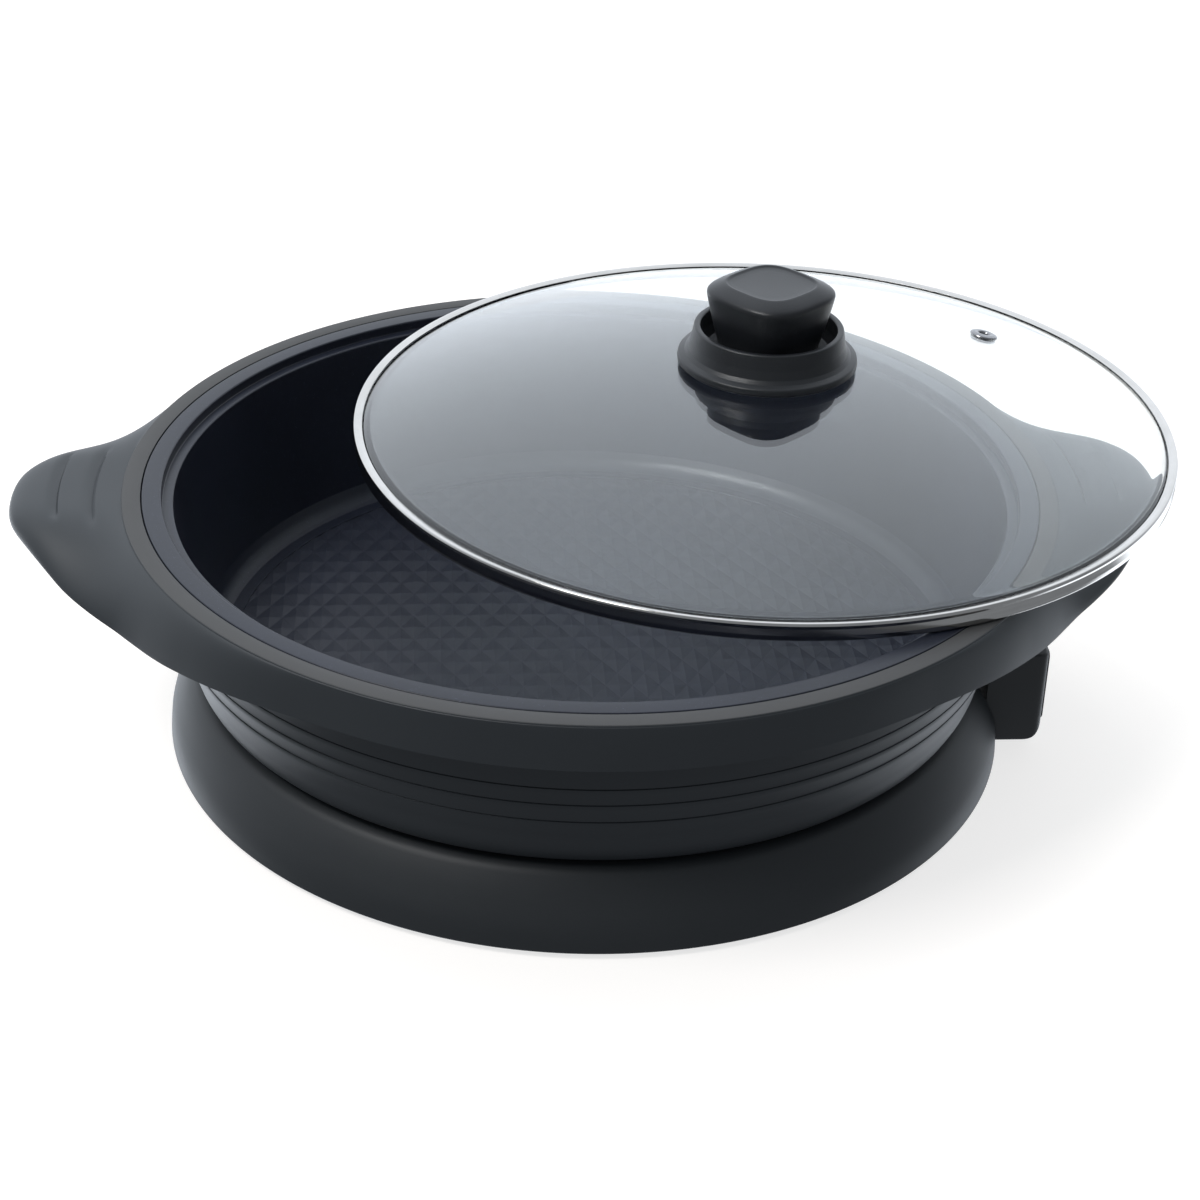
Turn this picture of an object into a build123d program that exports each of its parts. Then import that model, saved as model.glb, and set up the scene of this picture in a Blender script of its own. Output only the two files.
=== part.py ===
from build123d import *

import os
from math import cos, radians, sin, sqrt

# Electric griddle: deep round pan in a cool-touch shell, heated base and a glass lid set down ajar.
# Millimetres, +Z up. The origin is on the resting plane, on the axis of the pan and base.
# The handles lie along X. The connector box is on the +X side of the base.

# ---------------------------------------------------------------- driving dimensions
RIM_Z = 108.0            # top of the rim above the table
LAND_IN_R = 175.0        # inner edge of the shell's top land
LAND_OUT_R = 182.0       # outer edge of the shell's top land
BAND_R = 183.0           # outside of the band below the land
BAND_H = 18.0            # height of the band at the front
WALL = 2.4               # moulded wall thickness

HANDLE_TIP = 226.6       # axis to handle tip
HANDLE_FALL = 0.18       # fall of the handle's top, per unit of radius
HANDLE_EDGE_Z = RIM_Z - 14.0   # where the handle's side turns over into its top

PAN_FLANGE_R = 174.6
SHELF_OUT_R = 167.0      # the lid drops in here
SHELF_IN_R = 162.6
SHELF_DEPTH = 4.0
PAN_WALL = 2.5
FLOOR_Z = 34.5           # cooking surface
FLOOR_R = 142.7          # flat part of the cooking surface
FLOOR_T = 3.5
PAD_R = 107.0            # machined pad under the pan
PAD_Z = 28.0

SHELL_FLANGE_Z = 27.8    # underside of the shell's bottom flange
SHELL_FLANGE_T = 2.6
SHELL_HOLE_R = 120.0     # the pan's pad looks through this

SKIRT_RIM_R = 168.9
SKIRT_RIM_Z = 2.3
SKIRT_TOP_Z = 31.3
DISH_Z = 27.2            # floor of the dish that the pan nests in
DISH_R = 151.4
DISH_HOLE_R = 111.0

PLATE_R = 104.0
PLATE_TOP_Z = 27.7
PLATE_T = 9.7
ELEMENT_R = 72.0         # ring radius of the heating element
ELEMENT_TUBE_R = 3.5
ELEMENT_Z = 18.6
PROBE_Z = 21.3            # axis of the controller's probe
PROBE_TUBE_R = 3.2
PIN_PITCH = 20.0
PIN_R = 2.5

SHROUD_HALF = 30.5       # half width of the connector box
SHROUD_FACE_X = 184.0
SHROUD_TOP_Z = 42.0

LID_X, LID_Y = 72.3, 35.8   # axis of the lid, which lies ajar on the rim
LID_R = 166.2
LID_CLEAR = 0.3
LID_BAND_H = 7.2
GLASS_T = 4.0
GLASS_CROWN = 33.0       # top of the glass above the lid's lower edge
VENT_R = 113.2           # vent eyelet, from the lid's axis
VENT_TURN = 27.8
KNOB_TURN = 40.8         # turn of the rounded-square knob about its axis

LID_Z = RIM_Z + LID_CLEAR


def ring_points(count, radius, start=0.0):
    """Centres of `count` features, evenly spaced on a circle."""
    step = 360.0 / count
    return [(radius * cos(radians(start + i * step)), radius * sin(radians(start + i * step)))
            for i in range(count)]


def save(part, name):
    """Name a finished piece and write it."""
    part.label = name
    export_step(part, f"parts/{name}.step")


os.makedirs("parts", exist_ok=True)

# ---------------------------------------------------------------- pan
shelf_z = RIM_Z - SHELF_DEPTH
wall_foot_r = 155.2
fillet_r = wall_foot_r - FLOOR_R
fillet_top_z = FLOOR_Z + fillet_r
outer_fillet = fillet_r + PAN_WALL
under_z = FLOOR_Z - FLOOR_T
screw_spots = ring_points(4, 132.0, 45.0)
head_recess = 1.0        # counterbore for the pan's screws

with BuildPart() as pan:
    with BuildSketch(Plane.XZ):
        with BuildLine():
            Polyline((0, FLOOR_Z), (FLOOR_R, FLOOR_Z))
            RadiusArc((FLOOR_R, FLOOR_Z), (wall_foot_r, fillet_top_z), -fillet_r)
            Polyline((wall_foot_r, fillet_top_z), (SHELF_IN_R, shelf_z), (SHELF_OUT_R, shelf_z),
                     (SHELF_OUT_R, RIM_Z), (PAN_FLANGE_R, RIM_Z), (PAN_FLANGE_R, RIM_Z - 4.0),
                     (SHELF_OUT_R + 1.5, RIM_Z - 4.0), (SHELF_OUT_R + 1.5, shelf_z - PAN_WALL),
                     (SHELF_IN_R + PAN_WALL - 0.4, shelf_z - PAN_WALL - 2.0),
                     (wall_foot_r + PAN_WALL, fillet_top_z))
            RadiusArc((wall_foot_r + PAN_WALL, fillet_top_z),
                      (FLOOR_R, fillet_top_z - outer_fillet), outer_fillet)
            Polyline((FLOOR_R, fillet_top_z - outer_fillet), (FLOOR_R - 4, under_z),
                     (PAD_R + 2, under_z), (PAD_R, PAD_Z), (0, PAD_Z), (0, FLOOR_Z))
        make_face()
    revolve(axis=Axis.Z)
    with Locations([(x, y, under_z) for x, y in screw_spots]):
        Cylinder(2.1, 2.6, align=(Align.CENTER, Align.CENTER, Align.MIN), mode=Mode.SUBTRACT)
save(pan.part, "pan")

# ---------------------------------------------------------------- outer shell with handles
# The wall steps inwards at three heights; each step is a fine ledge.
wall_steps = [(165.6, 71.2), (164.7, 64.0), (162.4, 55.4)]
band_low_z = RIM_Z - BAND_H
ledge_z = RIM_Z - 4.4
wall_top = (167.0, 86.0)
wall_foot = (159.6, 41.5)
wall_turn = (155.2, 33.7)
nest_r = 149.0
flange_top_z = SHELL_FLANGE_Z + SHELL_FLANGE_T
step_in = 0.5


def shell_outline():
    """Outside of the bowl wall, from under the ledge to the bottom flange, as (r, z) points."""
    points = [(168.6, RIM_Z - 8.0), wall_top]
    for r, z in wall_steps:
        points += [(r + step_in, z), (r, z - 0.5)]
    return points + [(160.8, 48.0), wall_foot, (158.0, 38.0), wall_turn, (150.6, 32.3),
                     (nest_r, 31.2), (nest_r, SHELL_FLANGE_Z)]


def handle_outline(inset, reach):
    """Half outline of the +X handle: from the band, round the flank, to the tip."""
    flank = [(143.0, 120.0), (153.5, 107.5), (165.0, 93.5), (176.0, 80.5),
             (190.0, 66.5), (202.0, 53.0), (213.0, 39.5), (221.6, 29.5)]
    middle = HANDLE_TIP - 60.0
    points = []
    for x, y in flank:
        points.append((middle + (x - middle) * (1 - inset * 0.16), y * (1 - inset)))
    return points + [(reach - 0.7, 15.0 * (1 - inset)), (reach, 0.0)]


def handle_face(inset, reach):
    """Plan of one handle as a face, joined to the middle of the band."""
    half = handle_outline(inset, reach)
    whole = half + [(x, -y) for x, y in reversed(half[:-1])]
    with BuildSketch() as plan:
        with BuildLine():
            Spline(*whole)
            Polyline(whole[-1], (100.0, whole[-1][1]), (100.0, whole[0][1]), whole[0])
        make_face()
    return plan.sketch


def handle_low_z(x):
    """Height of the handle's lower edge: it dips beside the band and rises to the tip."""
    dip = [(120.0, band_low_z), (150.0, band_low_z - 3.6), (174.0, band_low_z - 6.2),
           (190.0, band_low_z - 4.0), (202.0, band_low_z - 0.4), (213.0, band_low_z + 2.9),
           (HANDLE_TIP + 2.0, band_low_z + 4.0)]
    for (x0, z0), (x1, z1) in zip(dip, dip[1:]):
        if x0 <= x <= x1:
            return z0 + (z1 - z0) * (x - x0) / (x1 - x0)
    return band_low_z


def side_profile(drop, top):
    """Side view of the handle zone above its lower edge, raised by `drop`."""
    marks = [100.0, 120.0, 150.0, 174.0, 190.0, 202.0, 213.0, HANDLE_TIP + 2.0]
    low = [(x, handle_low_z(x) + drop) for x in marks]
    with BuildSketch(Plane.XZ) as side:
        with BuildLine():
            Spline(*low)
            Polyline(low[-1], (low[-1][0], top), (low[0][0], top), low[0])
        make_face()
    return side.sketch


def handle_solid(inset, side_drop):
    """One handle as a filled body, `inset` mm inside its outer skin."""
    narrowing = inset / 60.0
    tip = HANDLE_TIP - inset
    foot_plan = handle_face(narrowing, tip).moved(Location((0, 0, band_low_z - 12.0)))
    edge_plan = handle_face(narrowing, tip).moved(Location((0, 0, HANDLE_EDGE_Z)))
    crown_plan = handle_face(narrowing + 0.17, tip - 12.0).moved(Location((0, 0, RIM_Z)))
    side = side_profile(side_drop, RIM_Z)
    dome_z = RIM_Z - 0.8 - inset
    dome_end = 240.0
    with BuildPart() as body:
        extrude(foot_plan, amount=HANDLE_EDGE_Z - band_low_z + 12.0)
        loft([edge_plan.faces()[0], crown_plan.faces()[0]])
        extrude(side, amount=200.0, both=True, mode=Mode.INTERSECT)
        with BuildSketch(Plane.XZ):
            with BuildLine():
                Polyline((0, 60.0), (dome_end, 60.0),
                         (dome_end, dome_z - (dome_end - LAND_OUT_R) * HANDLE_FALL),
                         (LAND_OUT_R, dome_z), (0, dome_z), (0, 60.0))
            make_face()
        revolve(axis=Axis.Z, mode=Mode.INTERSECT)
        Cylinder(LAND_OUT_R - 2.0, 300.0, mode=Mode.SUBTRACT)
    return body.part


cover_gap = 0.5
cover_t = 2.2
boss_spots = [(197.0, 24.0), (197.0, -24.0)]
boss_r = 4.0
tap_r = 1.55
cover_z = handle_low_z(boss_spots[0][0]) + cover_gap
boss_low_z = cover_z + cover_t + 0.6
boss_top_z = RIM_Z - WALL - (boss_spots[0][0] - LAND_OUT_R) * HANDLE_FALL
handle_skin = handle_solid(0.0, 0.0)
handle_void = handle_solid(WALL, -20.0)

wall_outside = [(171.4, 100.5), (168.6, 95.0)] + shell_outline()[1:]
wall_inside = [(146.4, flange_top_z), (147.2, 32.0), (150.5, 33.8), (153.3, 35.6), (155.6, 38.2),
               (157.7, 43.0), (158.4, 48.0), (160.3, 55.0), (162.5, 63.5), (163.4, 71.0),
               (164.8, 86.0), (169.2, 99.0)]

with BuildPart() as outer_shell:
    with BuildSketch(Plane.XZ):
        with BuildLine():
            Polyline((LAND_IN_R, RIM_Z), (LAND_OUT_R - 0.5, RIM_Z), (LAND_OUT_R, RIM_Z - 0.8),
                     (BAND_R, RIM_Z - 1.6), (BAND_R, band_low_z), (BAND_R - WALL, band_low_z),
                     (BAND_R - WALL, RIM_Z - 3.4), (LAND_IN_R + WALL, RIM_Z - 3.4),
                     (LAND_IN_R + WALL, 100.5), *wall_outside,
                     (SHELL_HOLE_R, SHELL_FLANGE_Z), (SHELL_HOLE_R, flange_top_z), *wall_inside,
                     (169.2, ledge_z), (LAND_IN_R, ledge_z), (LAND_IN_R, RIM_Z))
        make_face()
    revolve(axis=Axis.Z)
    add(handle_skin)
    add(handle_skin.mirror(Plane.YZ))
    add(handle_void, mode=Mode.SUBTRACT)
    add(handle_void.mirror(Plane.YZ), mode=Mode.SUBTRACT)
    for side in (1, -1):
        for x, y in boss_spots:
            with Locations((side * x, y, boss_low_z)):
                Cylinder(boss_r, boss_top_z - boss_low_z,
                         align=(Align.CENTER, Align.CENTER, Align.MIN))
                Cylinder(tap_r, 11.0, align=(Align.CENTER, Align.CENTER, Align.MIN),
                         mode=Mode.SUBTRACT)
    # Two shallow crescents across the top of each handle.
    for groove_r, span in ((192.5, 11.0), (205.5, 9.0)):
        groove_z = RIM_Z - 0.8 - (groove_r - LAND_OUT_R) * HANDLE_FALL
        for middle_angle in (0.0, 180.0):
            turn = Plane.XZ.rotated((0, 0, middle_angle - span))
            with BuildSketch(turn):
                with BuildLine():
                    Polyline((groove_r, groove_z + 1.0), (groove_r, groove_z - 0.7),
                             (groove_r + 4.0, groove_z - 0.8), (groove_r + 4.0, groove_z + 1.0),
                             (groove_r, groove_z + 1.0))
                make_face()
            revolve(axis=Axis.Z, revolution_arc=2 * span, mode=Mode.SUBTRACT)
    with Locations([(x, y, SHELL_FLANGE_Z) for x, y in screw_spots]):
        Cylinder(2.2, SHELL_FLANGE_T, align=(Align.CENTER, Align.CENTER, Align.MIN),
                 mode=Mode.SUBTRACT)
        Cylinder(4.3, head_recess, align=(Align.CENTER, Align.CENTER, Align.MIN),
                 mode=Mode.SUBTRACT)
save(outer_shell.part, "outer_shell")


def handle_cover(side):
    """Plate that closes the underside of one handle; side is +1 or -1."""
    plan = handle_face((WALL + 2.8) / 60.0, HANDLE_TIP - WALL - 3.2)
    plan = plan.moved(Location((0, 0, band_low_z - 14.0)))
    strip_top = side_profile(cover_gap, RIM_Z)
    strip_cut = side_profile(cover_gap + cover_t, RIM_Z)
    with BuildPart() as cover:
        extrude(plan, amount=30.0)
        extrude(strip_top, amount=78.0, both=True, mode=Mode.INTERSECT)
        extrude(strip_cut, amount=200.0, both=True, mode=Mode.SUBTRACT)
        Cylinder(BAND_R + 1.0, 300.0, mode=Mode.SUBTRACT)
        with Locations([(x, y, cover_z) for x, y in boss_spots]):
            Cylinder(1.8, 12.0, mode=Mode.SUBTRACT)
    if side < 0:
        return cover.part.mirror(Plane.YZ)
    return cover.part


save(handle_cover(1), "right_handle_cover")
save(handle_cover(-1), "left_handle_cover")


def screw(head_r, head_h, shank_r, shank_l, up=True):
    """A pan-head screw at the origin: head below, shank up, or the other way round."""
    way = 1 if up else -1
    with BuildPart() as body:
        with BuildSketch(Plane.XZ):
            with BuildLine():
                Polyline((0, -way * head_h), (head_r * 0.72, -way * head_h),
                         (head_r, -way * head_h * 0.45), (head_r, 0), (shank_r, 0),
                         (shank_r, way * (shank_l - shank_r * 0.5)),
                         (shank_r * 0.5, way * shank_l), (0, way * shank_l), (0, -way * head_h))
            make_face()
        revolve(axis=Axis.Z)
        with Locations((0, 0, -way * head_h)):
            Box(head_r * 1.1, head_r * 0.28, head_h * 0.9, mode=Mode.SUBTRACT)
            Box(head_r * 0.28, head_r * 1.1, head_h * 0.9, mode=Mode.SUBTRACT)
    return body.part


def screw_group(pattern, spots, name):
    """Several copies of one screw, kept as separate solids in one node."""
    group = Compound(children=[pattern.moved(Location(spot)) for spot in spots])
    save(group, name)


cover_seat_z = cover_z - 1.2
screw_group(screw(3.0, 1.8, 1.5, 10.5), [(s * x, y, cover_seat_z) for s in (1, -1) for x, y in boss_spots],
            "handle_cover_screws")
screw_group(screw(3.8, 0.9, 2.0, 4.5), [(x, y, SHELL_FLANGE_Z + head_recess) for x, y in screw_spots],
            "pan_screws")

# ---------------------------------------------------------------- base skirt
skirt_outside = [(SKIRT_RIM_R, SKIRT_RIM_Z), (168.4, 9.0), (165.7, 16.0), (162.2, 23.0), (158.9, 28.2),
                 (156.4, 30.7), (154.2, SKIRT_TOP_Z)]
skirt_inside = [(r - WALL, z) for r, z in skirt_outside[:5]] + [(153.0, 28.9)]
bottom_screw_spots = ring_points(4, 140.0, 22.5)
reflector_screw_spots = ring_points(4, 117.5, 45.0)
dish_under_z = DISH_Z - WALL
BOTTOM_PLATE_Z = 3.0
BOTTOM_PLATE_T = 1.5
post_top_z = PLATE_TOP_Z - PLATE_T
shroud_in_x = 156.5

with BuildPart() as base_skirt:
    with BuildSketch(Plane.XZ):
        with BuildLine():
            outside = Spline(*skirt_outside)
            Polyline(skirt_outside[-1], (DISH_R, SKIRT_TOP_Z), (DISH_R, DISH_Z), (DISH_HOLE_R, DISH_Z),
                     (DISH_HOLE_R, dish_under_z), (DISH_R - 2.0, dish_under_z), skirt_inside[-1])
            Spline(*reversed(skirt_inside))
            Line(skirt_inside[0], skirt_outside[0])
        make_face()
    revolve(axis=Axis.Z)
    with Locations([(x, y, BOTTOM_PLATE_Z + BOTTOM_PLATE_T) for x, y in bottom_screw_spots]):
        Cylinder(4.2, dish_under_z - BOTTOM_PLATE_Z - BOTTOM_PLATE_T + 0.5,
                 align=(Align.CENTER, Align.CENTER, Align.MIN))
        Cylinder(tap_r, 12.0, align=(Align.CENTER, Align.CENTER, Align.MIN), mode=Mode.SUBTRACT)
    with Locations([(x, y, dish_under_z - 3.0) for x, y in reflector_screw_spots]):
        Cylinder(3.6, 3.5, align=(Align.CENTER, Align.CENTER, Align.MIN))
        Cylinder(tap_r, 5.0, align=(Align.CENTER, Align.CENTER, Align.MIN), mode=Mode.SUBTRACT)
    # Window that the connector box stands in.
    with Locations((shroud_in_x + 20.0, 0, SKIRT_RIM_Z - 1.0)):
        Box(40.0, 2 * SHROUD_HALF + 0.4, 26.2, align=(Align.CENTER, Align.CENTER, Align.MIN),
            mode=Mode.SUBTRACT)
    with Locations((160.0 + 20.0, 0, 20.0)):
        Box(40.0, 2 * SHROUD_HALF + 0.4, 30.0, align=(Align.CENTER, Align.CENTER, Align.MIN),
            mode=Mode.SUBTRACT)
save(base_skirt.part, "base_skirt")

# ---------------------------------------------------------------- connector box on the +X side
shroud_low_z = SKIRT_RIM_Z
shroud_step_z = 26.6
recess_x = 163.0
recess_floor_z = 11.0
shroud_screw_z = 13.0
shroud_screw_y = 19.0

with BuildPart() as connector_shroud:
    with BuildSketch(Plane.XZ):
        with BuildLine():
            Polyline((shroud_in_x, shroud_low_z), (SHROUD_FACE_X - 8.5, shroud_low_z))
            RadiusArc((SHROUD_FACE_X - 8.5, shroud_low_z), (SHROUD_FACE_X - 1.6, shroud_low_z + 7.0), -7.0)
            Polyline((SHROUD_FACE_X - 1.6, shroud_low_z + 7.0), (SHROUD_FACE_X, SHROUD_TOP_Z - 1.0),
                     (SHROUD_FACE_X - 1.0, SHROUD_TOP_Z), (161.8, SHROUD_TOP_Z),
                     (160.3, SHROUD_TOP_Z - 1.0), (160.3, shroud_step_z), (shroud_in_x, shroud_step_z),
                     (shroud_in_x, shroud_low_z))
        make_face()
    extrude(amount=SHROUD_HALF, both=True)
    corner_edges = connector_shroud.edges().filter_by(
        lambda e: e.center().X > SHROUD_FACE_X - 1.5 and abs(e.center().Y) > SHROUD_HALF - 0.5
        and e.length > 20)
    fillet(corner_edges, 3.5)
    # Recess that a plug-in controller enters, and the cavity behind its back wall.
    with Locations((recess_x, 0, recess_floor_z)):
        Box(40.0, 46.0, 34.0 - recess_floor_z, align=(Align.MIN, Align.CENTER, Align.MIN), mode=Mode.SUBTRACT)
    for y in (-PIN_PITCH / 2, PIN_PITCH / 2):
        with Locations((shroud_in_x, y, ELEMENT_Z)):
            Cylinder(PIN_R + 0.6, 40.0, rotation=(0, 90, 0), mode=Mode.SUBTRACT)
    with Locations((shroud_in_x, 0, PROBE_Z)):
        Cylinder(3.9, 40.0, rotation=(0, 90, 0), mode=Mode.SUBTRACT)
    for y in (-shroud_screw_y, shroud_screw_y):
        with Locations((shroud_in_x, y, shroud_screw_z)):
            Cylinder(tap_r, 10.0, rotation=(0, 90, 0), mode=Mode.SUBTRACT)
save(connector_shroud.part, "connector_shroud")

# ---------------------------------------------------------------- heating plate and element
element_gap = 12.0       # half angle of the element's open end, in degrees
lead_start = (ELEMENT_R * cos(radians(element_gap)), ELEMENT_R * sin(radians(element_gap)))
lead_y = PIN_PITCH / 2
cold_end_x = 147.0
probe_in_x = 66.0
clip_screw_ys = (-41.0, -9.0)
post_spots = ring_points(3, 45.0, 60.0)

with BuildPart() as heating_element:
    with BuildSketch(Plane.XZ.rotated((0, 0, element_gap))):
        with Locations((ELEMENT_R, ELEMENT_Z)):
            Circle(ELEMENT_TUBE_R)
    revolve(axis=Axis.Z, revolution_arc=360 - 2 * element_gap)
    for side in (1, -1):
        turn_x = lead_start[0] + 3.0
        with BuildLine() as lead:
            FilletPolyline((lead_start[0], side * lead_start[1], ELEMENT_Z),
                           (turn_x + 6.0, side * lead_y, ELEMENT_Z),
                           (cold_end_x, side * lead_y, ELEMENT_Z), radius=8.0)
        start = lead.line @ 0
        with BuildSketch(Plane(start, z_dir=lead.line % 0)):
            Circle(ELEMENT_TUBE_R)
        sweep(path=lead.line)
        with Locations((start.X, start.Y, start.Z)):
            Sphere(ELEMENT_TUBE_R)
save(heating_element.part, "heating_element")

with BuildPart() as heating_plate:
    with Locations((0, 0, PLATE_TOP_Z)):
        Cylinder(PLATE_R, PLATE_T, align=(Align.CENTER, Align.CENTER, Align.MAX))
    fillet(heating_plate.edges().group_by(Axis.Z)[0], 1.5)
    add(heating_element.part, mode=Mode.SUBTRACT)
    with Locations((probe_in_x, 0, PROBE_Z)):
        Cylinder(PROBE_TUBE_R + 0.05, 100.0, rotation=(0, 90, 0),
                 align=(Align.CENTER, Align.CENTER, Align.MIN), mode=Mode.SUBTRACT)
    with Locations([(0, y, post_top_z) for y in clip_screw_ys]):
        Cylinder(tap_r, 5.0, align=(Align.CENTER, Align.CENTER, Align.MIN), mode=Mode.SUBTRACT)
    with Locations([(x, y, post_top_z) for x, y in post_spots]):
        Cylinder(2.1, 6.0, align=(Align.CENTER, Align.CENTER, Align.MIN), mode=Mode.SUBTRACT)
save(heating_plate.part, "heating_plate")

# ---------------------------------------------------------------- parts round the heating plate
reflector_top_z = dish_under_z - 3.0
reflector_t = 0.8
reflector_floor_z = 10.0

with BuildPart() as heat_reflector:
    with BuildSketch(Plane.XZ):
        with BuildLine():
            Polyline((0, reflector_floor_z), (104.0, reflector_floor_z), (109.2, reflector_top_z),
                     (122.0, reflector_top_z), (122.0, reflector_top_z - reflector_t),
                     (109.9, reflector_top_z - reflector_t), (104.6, reflector_floor_z - reflector_t),
                     (0, reflector_floor_z - reflector_t), (0, reflector_floor_z))
        make_face()
    revolve(axis=Axis.Z)
    with Locations((90.0, 0, 12.0)):
        Box(60.0, 32.0, 20.0, align=(Align.MIN, Align.CENTER, Align.MIN), mode=Mode.SUBTRACT)
    with Locations([(x, y, 0) for x, y in post_spots]):
        Cylinder(2.2, 60.0, mode=Mode.SUBTRACT)
    with Locations([(x, y, 0) for x, y in reflector_screw_spots]):
        Cylinder(1.8, 60.0, mode=Mode.SUBTRACT)
save(heat_reflector.part, "heat_reflector")

with BuildPart() as one_post:
    Cylinder(5.0, post_top_z - reflector_floor_z, align=(Align.CENTER, Align.CENTER, Align.MIN))
    Cylinder(2.2, 40.0, mode=Mode.SUBTRACT)
screw_group(one_post.part, [(x, y, reflector_floor_z) for x, y in post_spots], "plate_posts")

under_reflector_z = reflector_floor_z - reflector_t
screw_group(screw(4.0, 2.2, 2.0, post_top_z - under_reflector_z + 5.0),
            [(x, y, under_reflector_z) for x, y in post_spots], "plate_screws")
screw_group(screw(3.0, 1.8, 1.5, 4.6),
            [(x, y, reflector_top_z - reflector_t) for x, y in reflector_screw_spots],
            "reflector_screws")

cutout_y = -25.0
cutout_r = 8.0
cutout_low_z = 12.0
with BuildPart() as thermal_cutout:
    with Locations((0, cutout_y, cutout_low_z)):
        Cylinder(cutout_r, post_top_z - cutout_low_z - 0.05, align=(Align.CENTER, Align.CENTER, Align.MIN))
    with Locations((0, cutout_y, cutout_low_z + 1.0)):
        Box(26.0, 4.8, 0.8, align=(Align.CENTER, Align.CENTER, Align.MIN))
save(thermal_cutout.part, "thermal_cutout")

strap_z = cutout_low_z - 0.85
ear_z = post_top_z - 0.85
with BuildPart() as cutout_clip:
    with BuildSketch(Plane.YZ):
        with BuildLine():
            strap = Polyline((-45.0, ear_z), (-36.0, ear_z), (-34.5, strap_z), (-15.5, strap_z),
                             (-14.0, ear_z), (-5.0, ear_z))
            raised = Polyline((-45.0, ear_z + 0.8), (-35.2, ear_z + 0.8), (-33.7, strap_z + 0.8),
                              (-16.3, strap_z + 0.8), (-14.8, ear_z + 0.8), (-5.0, ear_z + 0.8))
            Line(strap @ 0, raised @ 0)
            Line(strap @ 1, raised @ 1)
        make_face()
    extrude(amount=4.0, both=True)
    with Locations([(0, y, 0) for y in clip_screw_ys]):
        Cylinder(1.7, 60.0, mode=Mode.SUBTRACT)
save(cutout_clip.part, "cutout_clip")
screw_group(screw(2.6, 1.5, 1.5, 5.2), [(0, y, ear_z) for y in clip_screw_ys], "clip_screws")

wire_r = 1.2
wire_z = cutout_low_z + 1.4
wire_end_x = 148.3
wire_routes = [
    [(13.2, cutout_y), (60.0, cutout_y), (92.0, -12.0), (wire_end_x, -12.0)],
    [(-13.2, cutout_y), (-26.0, cutout_y), (-26.0, 12.0), (wire_end_x, 12.0)],
]


def wire(route):
    """Insulated lead along a flat route, as a round tube."""
    with BuildPart() as lead:
        with BuildLine() as path:
            FilletPolyline(*[(x, y, wire_z) for x, y in route], radius=9.0)
        with BuildSketch(Plane(path.line @ 0, z_dir=path.line % 0)):
            Circle(wire_r)
        sweep(path=path.line)
    return lead.part


save(Compound(children=[wire(route) for route in wire_routes]), "cutout_leads")

block_x = 148.5
block_t = 7.4
with BuildPart() as terminal_block:
    with Locations((block_x, 0, 9.5)):
        Box(block_t, 48.0, 15.1, align=(Align.MIN, Align.CENTER, Align.MIN))
    fillet(terminal_block.edges().filter_by(Axis.X), 1.5)
    for y, z, r in ((-lead_y, ELEMENT_Z, PIN_R + 0.05), (lead_y, ELEMENT_Z, PIN_R + 0.05),
                    (0, PROBE_Z, PROBE_TUBE_R + 0.06),
                    (-shroud_screw_y, shroud_screw_z, 1.7), (shroud_screw_y, shroud_screw_z, 1.7)):
        with Locations((block_x, y, z)):
            Cylinder(r, 60.0, rotation=(0, 90, 0), mode=Mode.SUBTRACT)
save(terminal_block.part, "terminal_block")

pin_tip_x = 178.0
with BuildPart() as one_pin:
    with BuildSketch(Plane.XZ):
        with BuildLine():
            Polyline((cold_end_x, 0), (cold_end_x, 3.4), (block_x, 3.4), (block_x, PIN_R),
                     (pin_tip_x - 1.5, PIN_R), (pin_tip_x, PIN_R - 1.2), (pin_tip_x, 0), (cold_end_x, 0))
        make_face()
    revolve(axis=Axis.X)
screw_group(one_pin.part, [(0, y, ELEMENT_Z) for y in (-lead_y, lead_y)], "terminal_pins")

with BuildPart() as probe_tube:
    with Locations((probe_in_x, 0, PROBE_Z)):
        Cylinder(PROBE_TUBE_R, recess_x - probe_in_x, rotation=(0, 90, 0),
                 align=(Align.CENTER, Align.CENTER, Align.MIN))
    with Locations((probe_in_x + 1.0, 0, PROBE_Z)):
        Cylinder(PROBE_TUBE_R - 0.6, recess_x - probe_in_x, rotation=(0, 90, 0),
                 align=(Align.CENTER, Align.CENTER, Align.MIN), mode=Mode.SUBTRACT)
save(probe_tube.part, "probe_tube")

with BuildPart() as earth_contact:
    with BuildSketch(Plane.XZ):
        with BuildLine():
            low = Polyline((recess_x, recess_floor_z), (recess_x + 6.0, recess_floor_z),
                           (recess_x + 9.5, recess_floor_z + 2.2), (recess_x + 13.0, recess_floor_z + 0.3))
            high = Polyline((recess_x, recess_floor_z + 0.6), (recess_x + 5.8, recess_floor_z + 0.6),
                            (recess_x + 9.5, recess_floor_z + 2.9), (recess_x + 13.2, recess_floor_z + 0.9))
            Line(low @ 0, high @ 0)
            Line(low @ 1, high @ 1)
        make_face()
    extrude(amount=3.5, both=True)
save(earth_contact.part, "earth_contact")

with BuildPart() as shroud_screw:
    add(screw(2.8, 1.6, 1.5, block_t + 5.0).rotate(Axis.Y, 90))
screw_group(shroud_screw.part, [(block_x, y, shroud_screw_z) for y in (-shroud_screw_y, shroud_screw_y)],
            "shroud_screws")

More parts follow.
